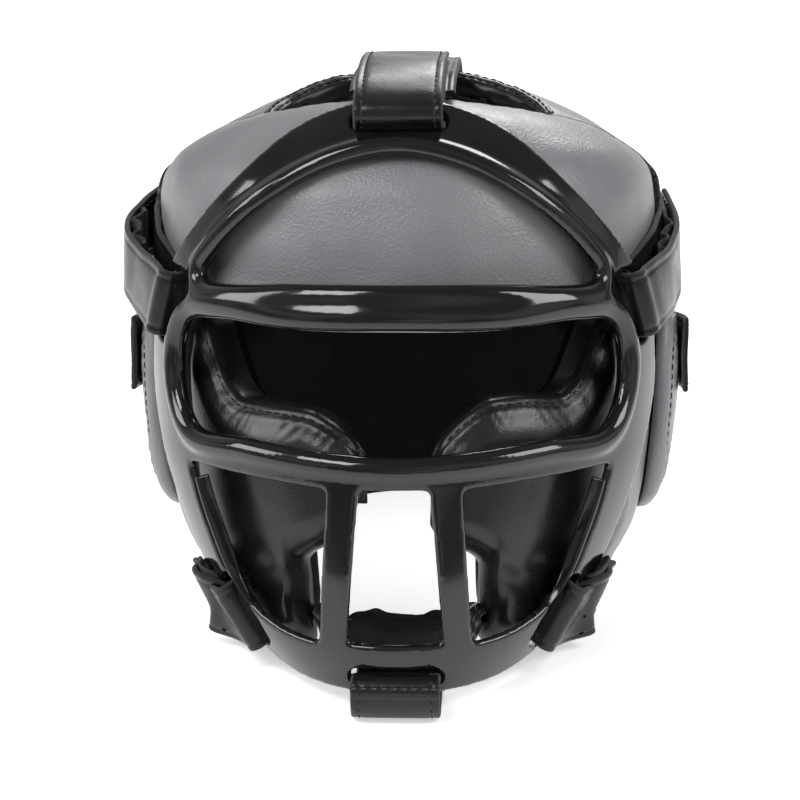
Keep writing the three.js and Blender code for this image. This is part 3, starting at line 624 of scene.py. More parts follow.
def skin_foot(points):
    """Nearest point of the cage's outer skin, and the height above it."""
    limit = cage_half(points[:, 2]) * FOOT_END
    x, z = np.clip(points[:, 0], -limit, limit), points[:, 2].copy()
    for _ in range(5):
        at = cage_point(x, z)
        tx = (cage_point(x + 0.2, z) - at) / 0.2
        tz = (cage_point(x, z + 0.2) - at) / 0.2
        gap = points - at
        a, b, c = (tx * tx).sum(1), (tx * tz).sum(1), (tz * tz).sum(1)
        p, q = (gap * tx).sum(1), (gap * tz).sum(1)
        det = a * c - b * b
        limit = cage_half(z) * FOOT_END
        x = np.clip(x + np.clip((c * p - b * q) / det, -FOOT_STEP, FOOT_STEP), -limit, limit)
        z = np.clip(z + np.clip((a * q - b * p) / det, -FOOT_STEP, FOOT_STEP), FOOT_LOW_Z, FOOT_HIGH_Z)
    at = cage_point(x, z)
    return at, ((points - at) * cage_normal(x, z)).sum(1)


def round_max(a, b, radius):
    """Both of two shapes, with the corner between them rounded."""
    return np.minimum(np.maximum(a + radius, b + radius), 0) + np.hypot(
        np.maximum(a + radius, 0), np.maximum(b + radius, 0)) - radius


def soft_min(a, b, blend):
    """Either of two shapes, with a fillet where they meet."""
    share = np.clip(0.5 + 0.5 * (b - a) / blend, 0, 1)
    return mix(b, a, share) - blend * share * (1 - share)


outline_loop = mirror_loop(OUTLINE, 300)
crescent_loop = mirror_loop(CRESCENT, 260)
eye_loop = mirror_loop(EYE_SLOT, 280)
middle_loop = cornered_loop(MIDDLE_OPENING)
side_loop = cornered_loop(SIDE_OPENING)
slot_loops = [slot_loop(*row) for row in SLOTS.values()]


def cage_distance(points):
    """Signed distance to the cage's right half and what crosses the middle."""
    foot, height = skin_foot(points)
    edge = outline_distance(foot, outline_loop)
    eye, crescent = outline_distance(foot, eye_loop), outline_distance(foot, crescent_loop)
    middle, side = outline_distance(foot, middle_loop), outline_distance(foot, side_loop)
    plan = round_max(edge, -soft_min(eye, crescent, EYE_BLEND), UPPER_ROUND)
    plan = round_max(round_max(plan, -middle, LOWER_ROUND), -side, LOWER_ROUND)
    for rail in slot_loops:
        plan = np.maximum(plan, -outline_distance(foot, rail))
    body = round_max(plan, np.abs(height + CAGE_WALL / 2) - CAGE_WALL / 2, CAGE_EDGE)
    below = height + BEAD_SINK
    beads = soft_min(
        np.hypot(eye - EYE_BEAD_OUT, below) - EYE_BEAD,
        np.hypot(crescent - CRESCENT_BEAD_OUT, below) - CRESCENT_BEAD, BROW_BLEND)
    return soft_min(body, beads, CAGE_BLEND)


def surface_nets(values, origin, step):
    """Vertices and quads of the zero level of a grid of distances."""
    sign = values < 0
    shape = np.array(values.shape) - 1
    corners = [(i, j, k) for i in (0, 1) for j in (0, 1) for k in (0, 1)]

    def corner(grid, c):
        return grid[c[0]:c[0] + shape[0], c[1]:c[1] + shape[1], c[2]:c[2] + shape[2]]

    count = sum(corner(sign, c).astype(np.int8) for c in corners)
    active = (count > 0) & (count < 8)
    cells = np.argwhere(active)
    index = np.full(shape, -1)
    index[active] = np.arange(len(cells))
    total, hits = np.zeros((len(cells), 3)), np.zeros(len(cells))
    for a in corners:
        for axis in range(3):
            if a[axis]:
                continue
            b = tuple(1 if k == axis else a[k] for k in range(3))
            va, vb = corner(values, a)[active], corner(values, b)[active]
            crossing = (va < 0) != (vb < 0)
            t = np.where(crossing, va / np.where(crossing, va - vb, 1), 0)
            cut = np.array(a, float) + np.eye(3)[axis] * t[:, None]
            total += cut * crossing[:, None]
            hits += crossing
    points = origin + step * (cells + total / hits[:, None])
    quads = []
    for axis in range(3):
        u, v = [(1, 2), (2, 0), (0, 1)][axis]
        lower = [slice(1, -1)] * 3
        upper = [slice(1, -1)] * 3
        lower[axis], upper[axis] = slice(0, -1), slice(1, None)
        first, second = sign[tuple(lower)], sign[tuple(upper)]
        edges = np.argwhere(first != second)
        flip = second[first != second]
        base = edges.copy()
        base[:, u] += 1
        base[:, v] += 1
        step_u, step_v = np.eye(3, dtype=int)[u], np.eye(3, dtype=int)[v]
        around = [base - step_u - step_v, base - step_v, base, base - step_u]
        quad = np.stack([index[tuple(c.T)] for c in around], 1)
        quad[flip] = quad[flip][:, ::-1]
        quads.append(quad)
    return points, np.concatenate(quads)


SNAP_ROUNDS, SNAP_STEP = 3, 0.6


def cage_mesh():
    """The cage's right half and a little past the middle, with its points drawn onto the true surface."""
    size = np.ceil((CAGE_HIGH - CAGE_LOW) / CAGE_STEP).astype(int) + 1
    axes = [CAGE_LOW[k] + CAGE_STEP * np.arange(size[k]) for k in range(3)]
    x, z = np.meshgrid(axes[0], axes[2], indexing="ij")
    skin = cage_point(x.ravel(), z.ravel())[:, 1].reshape(x.shape)
    facing = np.abs(cage_normal(x.ravel(), z.ravel())[:, 1]).reshape(x.shape)
    near = np.abs((skin[:, None, :] - axes[1][None, :, None]) * facing[:, None, :]) < CAGE_BAND
    values = np.full(size, CAGE_FAR)
    values[near] = cage_distance(CAGE_LOW + CAGE_STEP * np.argwhere(near))
    points, quads = surface_nets(values, CAGE_LOW, CAGE_STEP)
    gradient = np.stack(np.gradient(values, CAGE_STEP), -1)
    for _ in range(SNAP_ROUNDS):
        cell = np.clip(np.round((points - CAGE_LOW) / CAGE_STEP).astype(int), 0, size - 1)
        away = np.clip(cage_distance(points), -SNAP_STEP, SNAP_STEP)
        points = points - away[:, None] * unit(gradient[tuple(cell.T)])
    return points, quads


def quad_edges(quads):
    return np.concatenate([quads[:, [k, (k + 1) % 4]] for k in range(4)])


def compacted(points, quads):
    """Only the points that the quads use, and the quads renumbered."""
    used, numbers = np.unique(quads, return_inverse=True)
    return points[used], numbers.reshape(quads.shape)


def half_to_whole(points, quads):
    """The part right of the middle plane, joined to its mirror image."""
    points, quads = compacted(points, quads[points[quads][:, :, 0].mean(1) > 0])
    edges = quad_edges(quads)
    _, inverse, counts = np.unique(np.sort(edges, 1), axis=0, return_inverse=True, return_counts=True)
    border = np.unique(edges[counts[inverse.ravel()] == 1])
    points[border, 0] = 0
    twin = np.arange(len(points)) + len(points)
    twin[border] = border
    both = np.concatenate([points, points * [-1, 1, 1]])
    return compacted(both, np.concatenate([quads, twin[quads][:, ::-1]]))


# Ledge down the outer side of each lower side opening: how far in, out, below the skin and deep.
LEDGE_IN, LEDGE_OUT, LEDGE_SINK, LEDGE_DEPTH = 1.9, 1.4, 1.1, 6.5
LEDGE_TOP_Z, LEDGE_LOW_Z, LEDGE_STEPS, LEDGE_SIDES, LEDGE_SQUARE = -26, -84, 90, 24, 0.3
# At its lower end: how far in and deep, and how long it takes to run out.
LEDGE_END_IN, LEDGE_END_DEPTH, LEDGE_FADE = -0.8, 2, 26


def ledge_body():
    """Strip standing in the opening, square at its upper end and running out at its lower one."""
    outer = smooth_path(SIDE_OPENING[1], 400)
    rail = resample(outer[(outer[:, 1] < LEDGE_TOP_Z) & (outer[:, 1] > LEDGE_LOW_Z)], LEDGE_STEPS)
    skin, normal = cage_point(rail[:, 0], rail[:, 1]), cage_normal(rail[:, 0], rail[:, 1])
    tangent = unit(np.gradient(skin, axis=0))
    inwards = np.cross(normal, tangent)
    inwards *= np.sign(-inwards[:, :1])
    fade = smoothstep(rail[:, 1], LEDGE_LOW_Z, LEDGE_LOW_Z + LEDGE_FADE)
    reach, deep = mix(LEDGE_END_IN, LEDGE_IN, fade), mix(LEDGE_END_DEPTH, LEDGE_DEPTH, fade)
    turn = (np.arange(LEDGE_SIDES) + 0.5) / LEDGE_SIDES * 2 * math.pi
    wide, tall = signed_power(np.cos(turn), LEDGE_SQUARE), signed_power(np.sin(turn), LEDGE_SQUARE)
    across = ((reach - LEDGE_OUT) / 2)[:, None] + ((reach + LEDGE_OUT) / 2)[:, None] * wide
    height = -LEDGE_SINK - deep[:, None] / 2 + deep[:, None] / 2 * tall
    return swept(skin[:, None] + inwards[:, None] * across[..., None] + normal[:, None] * height[..., None])


CAGE_SMOOTHINGS = (0.5, -0.52) * 6


def smoothed(points, quads):
    """The same mesh with its small unevenness taken out, and its size kept."""
    edges = np.unique(np.sort(quad_edges(quads), 1), axis=0)
    ends = np.concatenate([edges, edges[:, ::-1]])
    count = np.bincount(ends[:, 0], minlength=len(points))[:, None]
    for weight in CAGE_SMOOTHINGS:
        near = np.stack([np.bincount(ends[:, 0], points[ends[:, 1], k], len(points)) for k in range(3)], 1)
        points = points + (near / count - points) * weight
    return points


cage_points, cage_quads = half_to_whole(*cage_mesh())
cage_points = smoothed(cage_points, cage_quads)
cage_parts = Parts().add(cage_points, facing_out(cage_points, cage_quads.tolist()))
ledge_points, ledge_faces = ledge_body()
cage_parts.add(ledge_points, ledge_faces)
cage_parts.add(ledge_points * [-1, 1, 1], [face[::-1] for face in ledge_faces])
make("cage", cage_parts, [cage_plastic], ["face_cage"])


# Padded sections of the wall

SIDES = (("right", False), ("left", True))
# Puckers along a seam: height, pitch and distance in; and the height and width of the cover's unevenness.
SEAM_PUCKER, SEAM_PITCH, SEAM_INSET, UNEVEN, UNEVEN_SCALE = 0.5, 11, 5, 0.5, 60
# Channels sewn in the lining: depth and width, as a share of their pitch.
CHANNEL_DEPTH, CHANNEL_SHARE = 2.2, 0.09


def seam_relief(seed, pucker_mm):
    """Cover that pulls in with small puckers along its seams and is a little uneven between them."""
    def relief(cover, gaps):
        near = np.exp(-((np.minimum.reduce(gaps) - SEAM_INSET) / SEAM_INSET) ** 2)
        run = (gaps[0] + gaps[2]) * 2 * math.pi / SEAM_PITCH
        pucker = np.sin(run + 1.3 * waves(cover, 30, seed)) * near
        return pucker_mm * pucker + UNEVEN * waves(cover, UNEVEN_SCALE, seed + 1)
    return relief


def pad(name, outer, inner, cover, node, mirror=False, inside=lining):
    made = make(name, Parts().add(*shell(outer, inner)), [cover, inside, cover], [node], mirror)
    return made


def channelled(inner, deg, pitch):
    """Lining sewn down in upright channels."""
    towards = unit(np.stack([-np.sin(np.radians(deg)), np.cos(np.radians(deg)), np.zeros_like(deg)], -1))
    groove = np.exp(-(((deg + pitch / 2) % pitch - pitch / 2) / (pitch * CHANNEL_SHARE)) ** 2)
    return inner - towards * (groove * CHANNEL_DEPTH)[..., None]


brow_outer, brow_inner, brow_deg, _ = cushion(
    -SEAM_DEG, SEAM_DEG, lambda d: np.full_like(d, FOREHEAD_LOW_Z - EQUATOR_Z), lambda d: np.ones_like(d),
    0, PAD_DEPTH, (340, 125), (5, 5, 7, 9), seam_relief(3, SEAM_PUCKER * 0.5))
pad("forehead_cover", brow_outer, channelled(brow_inner, brow_deg, 31), grey_leather,
    "forehead_pad")


def nape_level(deg):
    """Level of the back pad's lower edge, a little above the floor."""
    lift = nape_lift(np.minimum(deg, 360 - deg))
    z = np.full_like(deg, -50.0)
    for _ in range(14):
        z = floor_z(wall_point(deg, z - EQUATOR_Z, 0)[..., 1]) + lift
    return z - EQUATOR_Z


NAPE_GAP_DEG, FLOOR_GAP, NAPE_EDGE_GAP = 0.36, 0.15, 0.1
back_outer, back_inner, back_deg, back_gaps = cushion(
    SEAM_DEG + NAPE_GAP_DEG, 360 - SEAM_DEG - NAPE_GAP_DEG, nape_level, lambda d: np.ones_like(d),
    0, PAD_DEPTH, (330, 220), (5, 5, 8, 9), seam_relief(7, SEAM_PUCKER * 0.5))
back_inner = channelled(back_inner, back_deg, 29)
for grid in (back_outer, back_inner):
    grid[..., 2] = np.maximum(grid[..., 2], floor_z(grid[..., 1]) + FLOOR_GAP)
for border in (back_outer[0], back_inner[0]):
    turn = np.degrees(np.arctan2(np.abs(border[:, 0]), WALL_CENTRE_Y - border[:, 1]))
    border[:, 2] = floor_z(border[:, 1]) + nape_lift(np.clip(turn, SEAM_DEG, 180)) + NAPE_EDGE_GAP
pad("back_cover", back_outer, back_inner, grey_leather, "back_pad")

side_outer, side_inner, _, _ = cushion(
    CHEEK_SEAM_DEG + 0.5, SEAM_DEG, lambda d: side_low(d) - EQUATOR_Z,
    lambda d: np.full_like(d, FOREHEAD_LOW_Z - EQUATOR_Z - SEAM_GAP),
    0, PAD_DEPTH, (52, 125), (8, 5, 7, 5), seam_relief(11, SEAM_PUCKER))
for side_name, mirror in SIDES:
    pad("side_cover_" + side_name, side_outer, side_inner, grey_leather,
        "side_pad_" + side_name, mirror)

# Cheek cushions: a rolled edge sewn down in a groove, and creases that run to the chin.
CHEEK_PUFF, CHEEK_PUCKER, CHEEK_PITCH = 4.2, 0.25, 9
ROLL, ROLL_GROOVE, ROLL_WIDTH = 3.4, 1.1, 1.1
# Each crease: from and to in degrees and z, width, lift.
CHEEK_CREASES = [((19, -50), (52, -80), 3.4, 2.2), ((25, -62), (55, -88), 5, -2.4)]


def cheek_relief(cover, gaps):
    sewn = np.minimum(gaps[3], gaps[0] + 40 * smoothstep(gaps[3], 12, 26))
    groove = -ROLL_GROOVE * np.exp(-((sewn - ROLL) / ROLL_WIDTH) ** 2)
    run = (gaps[0] + gaps[2]) * 2 * math.pi / CHEEK_PITCH
    near = np.exp(-((sewn - ROLL - 4) / 5) ** 2)
    pucker = CHEEK_PUCKER * np.sin(run + 1.5 * waves(cover, 26, 5)) * near
    puff = CHEEK_PUFF * smoothstep(sewn, 1, 20) * smoothstep(np.minimum.reduce(gaps), 0, 14)
    total = groove + pucker + 0.3 * waves(cover, 48, 6) + puff
    for (d0, z0), (d1, z1), width, lift in CHEEK_CREASES:
        a, b = on_wall(d0, z0, CHEEK_INSET), on_wall(d1, z1, CHEEK_INSET)
        run = b - a
        t = np.clip(((cover - a) @ run) / (run @ run), 0, 1)
        away = np.linalg.norm(cover - a - t[..., None] * run, axis=-1)
        total = total + lift * np.exp(-((away / width) ** 2)) * np.sin(math.pi * np.clip(t * 0.9 + 0.05, 0, 1))
    return total


def at_edge_distance(outer, gaps, edge, distance):
    """Line on a cushion's cover at a distance in from its start (0), stop (1), low (2) or high (3) edge."""
    grid = outer if edge > 1 else outer.swapaxes(0, 1)
    gap = gaps[edge] if edge > 1 else gaps[edge].T
    line = []
    for j in range(grid.shape[1]):
        order = np.argsort(gap[:, j])
        line.append([np.interp(distance, gap[order, j], grid[order, j, k]) for k in range(3)])
    return np.array(line)


def outward(outer):
    """Unit normals of a grid, away from the head's middle."""
    n = unit(np.cross(np.gradient(outer, axis=1), np.gradient(outer, axis=0)))
    away = outer - np.array([0, WALL_CENTRE_Y, 0])
    return n * np.sign((n * away).sum(-1, keepdims=True))


# Raised top of a cheek cushion: degrees from the face, share of the raise.
CHEEK_RAISE_ROWS = [(8, 0), (15, 0.9), (23, 1.5), (31, 1.4), (40, 0.8), (48, 0.5), (60, 0)]
# Thin edges: how far in they reach, and how thin; the cover's gap to the cage; where the low front corner slides.
CHEEK_TAPER, CHEEK_THIN, CHEEK_GAP, CHEEK_SLIDE_DEG = 18, 0.3, 1.4, (34, 46)
# How much higher each cushion's top is, and how many degrees nearer the middle its low front corner.
CHEEK_SHAPES = {"right": (3.5, 2), "left": (0, -2.6)}
cheek_raise = monotone(CHEEK_RAISE_ROWS, 1)


def cheek_pad(lift, slide):
    """Cheek cushion, thin along its front and lower edges, and its thread.

    Its top is lift mm higher, and its lower front corner slide degrees nearer the middle.
    """
    outer, inner, _, gaps = cushion(
        CHEEK_ROWS[0][0], CHEEK_SEAM_DEG,
        lambda d: cheek_low(d + slide * (1 - smoothstep(d, *CHEEK_SLIDE_DEG))) - EQUATOR_Z,
        lambda d: cheek_top(d) + lift * cheek_raise(d) - EQUATOR_Z - SEAM_GAP,
        CHEEK_INSET + CHEEK_GAP, CHEEK_DEPTH - CHEEK_GAP, (108, 95), (8, 8, 8, 8), cheek_relief, 1.6)
    thin = mix(CHEEK_THIN, 1, smoothstep(np.minimum(gaps[0], gaps[2]), 0, CHEEK_TAPER))
    inner = outer + (inner - outer) * thin[..., None]
    normals = outward(outer)
    trim = Parts()
    keep = slice(6, -6)
    for edge in (0, 3):
        line = at_edge_distance(outer, gaps, edge, ROLL)
        normal = at_edge_distance(normals, gaps, edge, ROLL)
        stitches(trim, line[keep] + normal[keep] * 0.15, 0, normal[keep])
    return outer, inner, trim


for side_name, mirror in SIDES:
    cheek_outer, cheek_inner, cheek_trim = cheek_pad(*CHEEK_SHAPES[side_name])
    pad("cheek_cover_" + side_name, cheek_outer, cheek_inner, black_leather,
        "cheek_pad_" + side_name, mirror)
    make("cheek_stitches_" + side_name, cheek_trim, [thread], mirror=mirror)

# Ear covers: a domed oval with a bound edge. Shares of the way out where the edge rolls over and the thread runs.
EAR_GAP, EAR_SPOKES, EAR_ROLL_AT, EAR_ROLL, EAR_THREAD_AT = 0.9, 120, 0.86, 3.2, 0.875


def ear_point(share, turn, depth):
    c, s = (signed_power(f(turn), 2 / EAR_POWER) for f in (np.cos, np.sin))
    return wall_point(EAR_DEG + share * EAR_HALF_DEG * c, EAR_Z + share * EAR_HALF_Z * s - EQUATOR_Z, depth)


def ear_height(share):
    return EAR_LIP + EAR_RISE * (1 - share**2.4) ** 0.8


def ear_cover():
    turn = np.arange(EAR_SPOKES) / EAR_SPOKES * 2 * math.pi
    rings = []
    for share in np.concatenate([np.linspace(0.04, EAR_ROLL_AT, 26), np.linspace(EAR_THREAD_AT, 1, 12)]):
        rim = np.clip((share - EAR_ROLL_AT) / (1 - EAR_ROLL_AT), 0, 1)
        groove = 0.9 * math.exp(-(((share - 0.87) / 0.022) ** 2))
        roll = EAR_ROLL * (1 - math.sqrt(1 - rim**2))
        at = ear_point(share, turn, 0)
        pucker = 0.35 * np.sin(turn * 34 + 1.2 * waves(at, 30, 21)) * math.exp(-(((share - 0.8) / 0.07) ** 2))
        proud = ear_height(share) - groove - roll + pucker + 0.4 * waves(at, 40, 22)
        rings.append(ear_point(share, turn, -EAR_GAP - proud))
    rings += [ear_point(share, turn, -EAR_GAP) for share in (1, 0.9, 0.6, 0.3, 0.04)]
    middles = [ear_point(0, 0, -EAR_GAP - height)[None] for height in (ear_height(0), 0)]
    points = np.concatenate(rings + middles)
    faces = grid_faces(len(rings), EAR_SPOKES, wrap=True)
    top, base = len(points) - 2, len(points) - 1
    last = (len(rings) - 1) * EAR_SPOKES
    for j in range(EAR_SPOKES):
        k = (j + 1) % EAR_SPOKES
        faces += [[top, k, j], [base, last + j, last + k]]
    line = ear_point(EAR_THREAD_AT, turn, -EAR_GAP - ear_height(EAR_THREAD_AT) + 0.55)
    normal = unit(line - ear_point(EAR_THREAD_AT, turn, 10))
    trim = Parts()
    stitches(trim, np.concatenate([line, line[:1]]), 0, np.concatenate([normal, normal[:1]]))
    return Parts().add(points, facing_out(points, faces)), trim


ear_parts, ear_trim = ear_cover()
for side_name, mirror in SIDES:
    ear = make("ear_cover_" + side_name, ear_parts, [grey_leather], ["ear_pad_" + side_name], mirror)
    make("ear_stitches_" + side_name, ear_trim, [thread], mirror=mirror)

# Chin cup: a slung pad, crinkled along its edges. Degrees of its ends' front and rear, steps along and across,
# and across from 0 at the front to 1 at the rear, where its thread runs and how thick it is.
CHIN_FRONT_DEG, CHIN_REAR_DEG, CHIN_ALONG, CHIN_ACROSS, CHIN_THREAD_AT = 30, 36, 110, 45, 0.16
CHIN_SWELL_AT = [0, 0.06, 0.25, 0.5, 0.75, 0.86, 0.9, 0.96, 1]
CHIN_SWELL = [0.12, 0.5, 0.8, 1, 0.8, 0.5, 0.42, 0.62, 0.15]


def chin_cup():
    def end(deg, sign):
        p = wall_point(deg * sign, cheek_low(deg) - EQUATOR_Z - 1, CHEEK_INSET + CHEEK_DEPTH / 2)
        return p + np.array([-sign * CHIN_PAD_TUCK, 0, 0])

    rows = np.array(CHIN_PAD_ROWS, float)
    rows = np.concatenate([rows[:0:-1] * [-1, 1, 1, -1, 1, 1], rows])
    front = smooth_path([end(CHIN_FRONT_DEG, -1), *rows[:, :3], end(CHIN_FRONT_DEG, 1)], CHIN_ALONG)
    rear = smooth_path([end(CHIN_REAR_DEG, -1), *rows[:, 3:], end(CHIN_REAR_DEG, 1)], CHIN_ALONG)
    along, across = np.linspace(0, 1, CHIN_ALONG), np.linspace(0, 1, CHIN_ACROSS)
    tangent = unit(np.gradient((front + rear) / 2, axis=0))
    normal = unit(np.cross(tangent, rear - front))
    normal *= np.sign(-normal[:, 2:])
    lines = front[:, None] + (rear - front)[:, None] * across[None, :, None]
    ends = (smoothstep(along, 0, 0.1) * smoothstep(1 - along, 0, 0.1))[:, None]
    edges = np.exp(-(across / 0.3) ** 2) + np.exp(-((1 - across) / 0.35) ** 2)
    crinkle = waves(lines * [1, 0.3, 1], 14, 31, 2) * 1.1 * edges * ends
    groove = -0.7 * np.exp(-((across - CHIN_THREAD_AT) / 0.03) ** 2) * ends
    lift = CHIN_PAD_DEPTH / 2 * np.interp(across, CHIN_SWELL_AT, CHIN_SWELL) + crinkle * 0.5 + groove
    rise = 1.4 * waves(front, 26, 33)[:, None] * (1 - across) ** 2 + 1.5 * waves(rear, 21, 35)[:, None] * across**2
    wavy = lines + (rise * ends)[..., None] * [0, 0, 1]
    low = wavy + normal[:, None] * lift[..., None]
    high = wavy - normal[:, None] * (lift + crinkle * 0.6)[..., None]
    trim = Parts()
    keep, column = slice(8, -8), int(CHIN_THREAD_AT * (CHIN_ACROSS - 1))
    stitches(trim, high[keep, column] - normal[keep] * 0.1, 0, -normal[keep])
    return low, high, trim


chin_low, chin_high, chin_trim = chin_cup()
pad("chin_cup", chin_low, chin_high, black_leather, "chin_pad", inside=black_leather)
make("chin_stitches", chin_trim, [thread])


# Straps

STRAP_DEPTH, STRAP_WIDTH, TEMPLE_WIDTH, JAW_WIDTH = 2.4, 38, 30, 33
CROWN_WIDTH, CROWN_DEPTH, BACK_WIDTH, BACK_DEPTH = 46, 3.4, 34, 2.4
STITCH_INSET, STITCH_HOLLOW, RIPPLE_SCALE = 3.6, 0.35, 34
# Way of a strap through a slot near the cage's edge: run along the skin, then lift off it at the temple and at the jaw.
EDGE_STRAP_ROWS = [
    (13, -6.9, -6.3), (7, -6.9, -6.3), (2.2, -6, -5.6), (0, -2, -2.2), (-0.4, 2.6, 2.4),
    (2.4, 5.2, 5), (7, 4.6, 4.3), (13, 4.6, 3.8),
]
# Where those straps go on the wall: degrees from the face, z, depth.
TEMPLE_UNDER = [(97, 83, -1.8), (91, 78, -1.8), (82, 71, -1.8), (73, 64, -2)]
TEMPLE_OVER_LEFT = [(70, 58, -13), (77, 64.5, -15.6), (84, 71, -14), (91, 77, -9), (98, 82.5, -4.6)]
TEMPLE_OVER_RIGHT = [(70, 58, -11.5), (77, 64, -11), (84, 70, -9.4), (91, 76, -7), (98, 82, -4.6)]
JAW_UNDER = [(68.5, -81.6, -3.4), (65, -82, -4.6), (61, -82.6, -5)]
JAW_OVER = [(58, -83, -12.6), (62, -82.6, -8), (68.5, -82, -5.6)]
# Straps in the middle plane: y, z.
CROWN_PATH = [
    (-54, 139), (-45, 142.2), (-22, 147.4), (0, 150.2), (22, 152.8), (42, 154.6), (58, 151.4), (70, 148.6),
]
TOP_PATH = [
    (-8, 153.2), (-24, 151.2), (-46, 146.2), (-58, 141.6), (-65.8, 135.4), (-72.6, 130), (-78.1, 125.3),
    (-82.6, 124.8), (-87.4, 126.2), (-91, 129), (-91.4, 132.6), (-87.4, 136.8), (-80, 141.4), (-70, 146.2),
    (-56, 150.6), (-40, 153.6), (-22, 155.6), (-6, 156.8),
]
# Chin strap: y of its flat stretch on the floor, its gap there, and its way before and after, in y and z.
STRAP_FLOOR_GAP = 0.45
CHIN_FLOOR_Y = (-84.5, -86.5, -101.5, -103.5)
CHIN_BEFORE = [(-66, -108.6), (-76, -112.4)]
CHIN_AFTER = [
    (-109.6, -122.4), (-113.8, -119), (-116, -114.6), (-116.6, -111), (-115, -108.2), (-110, -107), (-104.5, -106.8),
]
BACK_STRAP_Z, BACK_STRAP_DEG = 21, 87


def band_section(width, depth, hollow):
    """Ring round a strap: across from -1 to 1 edge to edge, lift, and which points are raw edge."""
    half, thick, bend = width / 2, depth / 2, min(depth / 2, 1.0)
    side = np.linspace(-half + bend, -half + STITCH_INSET + 1.5, 7)
    middle = np.linspace(-half + STITCH_INSET + 3, half - STITCH_INSET - 3, 9)
    flat = np.concatenate([side, middle, -side[::-1]])
    dip = np.exp(-(((half - np.abs(flat)) - STITCH_INSET) / 0.9) ** 2)
    swell = 1 - (np.abs(flat) / half) ** 4
    top = thick - hollow * dip + 0.25 * swell
    turn = np.linspace(0, math.pi, 7)[1:-1]
    edge_x, edge_z = half - bend + bend * np.sin(turn), thick * np.cos(turn)
    xs = np.concatenate([flat, edge_x, flat[::-1], -edge_x])
    zs = np.concatenate([top, edge_z, -top[::-1], -edge_z])
    raw = np.concatenate([np.zeros(len(flat)), np.ones(len(edge_x)), np.zeros(len(flat)), np.ones(len(edge_x))])
    return xs, zs, raw.astype(int)


def band(path, across, width, depth, relief=None, faces_up=1, stitch_from=0.0, stitch_to=1.0,
         hollow=STITCH_HOLLOW, sewn=True):
    """Strap along a path, with raw edges, sunk stitch lines and thread on its upper face."""
    tangent = unit(np.gradient(path, axis=0))
    across = unit(across - tangent * (across * tangent).sum(1, keepdims=True))
    normal = np.cross(tangent, across)
    xs, zs, raw = band_section(width, depth, hollow)
    lines = path[:, None] + across[:, None] * xs[None, :, None]
    lift = zs[None, :] + (relief(lines) if relief else np.zeros(lines.shape[:2]))
    rings = lines + normal[:, None] * lift[..., None]
    count, sides = rings.shape[:2]
    faces = grid_faces(count, sides, wrap=True)
    which = [max(raw[j], raw[(j + 1) % sides]) for _ in range(count - 1) for j in range(sides)]
    half = sides // 2
    for base in (0, (count - 1) * sides):
        for j in range(half - 1):
            faces.append([base + j, base + j + 1, base + sides - 2 - j, base + sides - 1 - j])
            which.append(1)
    points = rings.reshape(-1, 3)
    parts = Parts().add(points, facing_out(points, faces), which)
    first, last = int(stitch_from * (count - 1)), int(stitch_to * (count - 1)) + 1
    up = normal * faces_up
    for sign in (-1, 1) if sewn else ():
        rail = path + across * sign * (width / 2 - STITCH_INSET) + up * (depth / 2 - hollow + 0.25)
        if relief:
            rail = rail + normal * relief(rail)[:, None]
        stitches(parts, rail[first:last], 2, up[first:last])
    return parts


def leather_ripple(seed, amount):
    return lambda points: amount * waves(points, RIPPLE_SCALE, seed, 2)


STRAP_MATERIALS = [strap_leather, raw_edge, thread, hook_loop]


def middle_band(rows, width, depth, count, **options):
    """Strap in the middle plane: rows of (y, z)."""
    path = smooth_path([(0, y, z) for y, z in rows], count)
    return band(path, np.tile([1.0, 0, 0], (count, 1)), width, depth, **options)


crown_parts = middle_band(CROWN_PATH, CROWN_WIDTH, CROWN_DEPTH, 110, relief=leather_ripple(41, 0.35))
make("crown_band", crown_parts, STRAP_MATERIALS, ["crown_strap"])
top_parts = middle_band(
    TOP_PATH, STRAP_WIDTH, STRAP_DEPTH, 210, relief=leather_ripple(42, 0.3), faces_up=-1, stitch_from=0.42)
make("top_loop", top_parts, STRAP_MATERIALS, ["top_strap"])
strap_rest = STRAP_DEPTH / 2 / math.cos(REST_TILT) + STRAP_FLOOR_GAP
chin_path = [*CHIN_BEFORE, *[(y, floor_z(y) + strap_rest) for y in CHIN_FLOOR_Y], *CHIN_AFTER]
chin_parts = middle_band(chin_path, STRAP_WIDTH, STRAP_DEPTH, 120, faces_up=-1, stitch_from=0.5, stitch_to=0.88)
# Hem sewn across the chin strap's front, below its fold: y, z, half its height, thickness.
HEM_Y, HEM_Z, HEM_HALF, HEM_THICK = -117.2, -111.6, 2.7, 1.5
hem_x = np.linspace(-STRAP_WIDTH / 2 + 0.6, STRAP_WIDTH / 2 - 0.6, 60)
hem_wave = 0.35 * np.sin(hem_x * 1.45)
hem_path = np.stack([hem_x, HEM_Y - 0.3 * hem_wave, HEM_Z + hem_wave], 1)
hem_side = np.tile([0, 1.0, 0.0], (len(hem_x), 1))
chin_parts.add(*tube(hem_path, HEM_HALF, 16, flatten=HEM_THICK / HEM_HALF, side=hem_side), 0)
stitches(chin_parts, hem_path + np.array([0, -HEM_THICK, 0]), 2, -hem_side)
make("chin_loop", chin_parts, STRAP_MATERIALS, ["chin_strap"])


# Hook and loop tape under the end of a strap: where it starts and stops, its wave's pitch, its thickness,
# and how deep it starts under the strap.
HOOK_FROM, HOOK_TO, HOOK_PITCH, HOOK_DEPTH, HOOK_UNDER = 0.68, 0.87, 15, 1.2, 2.2


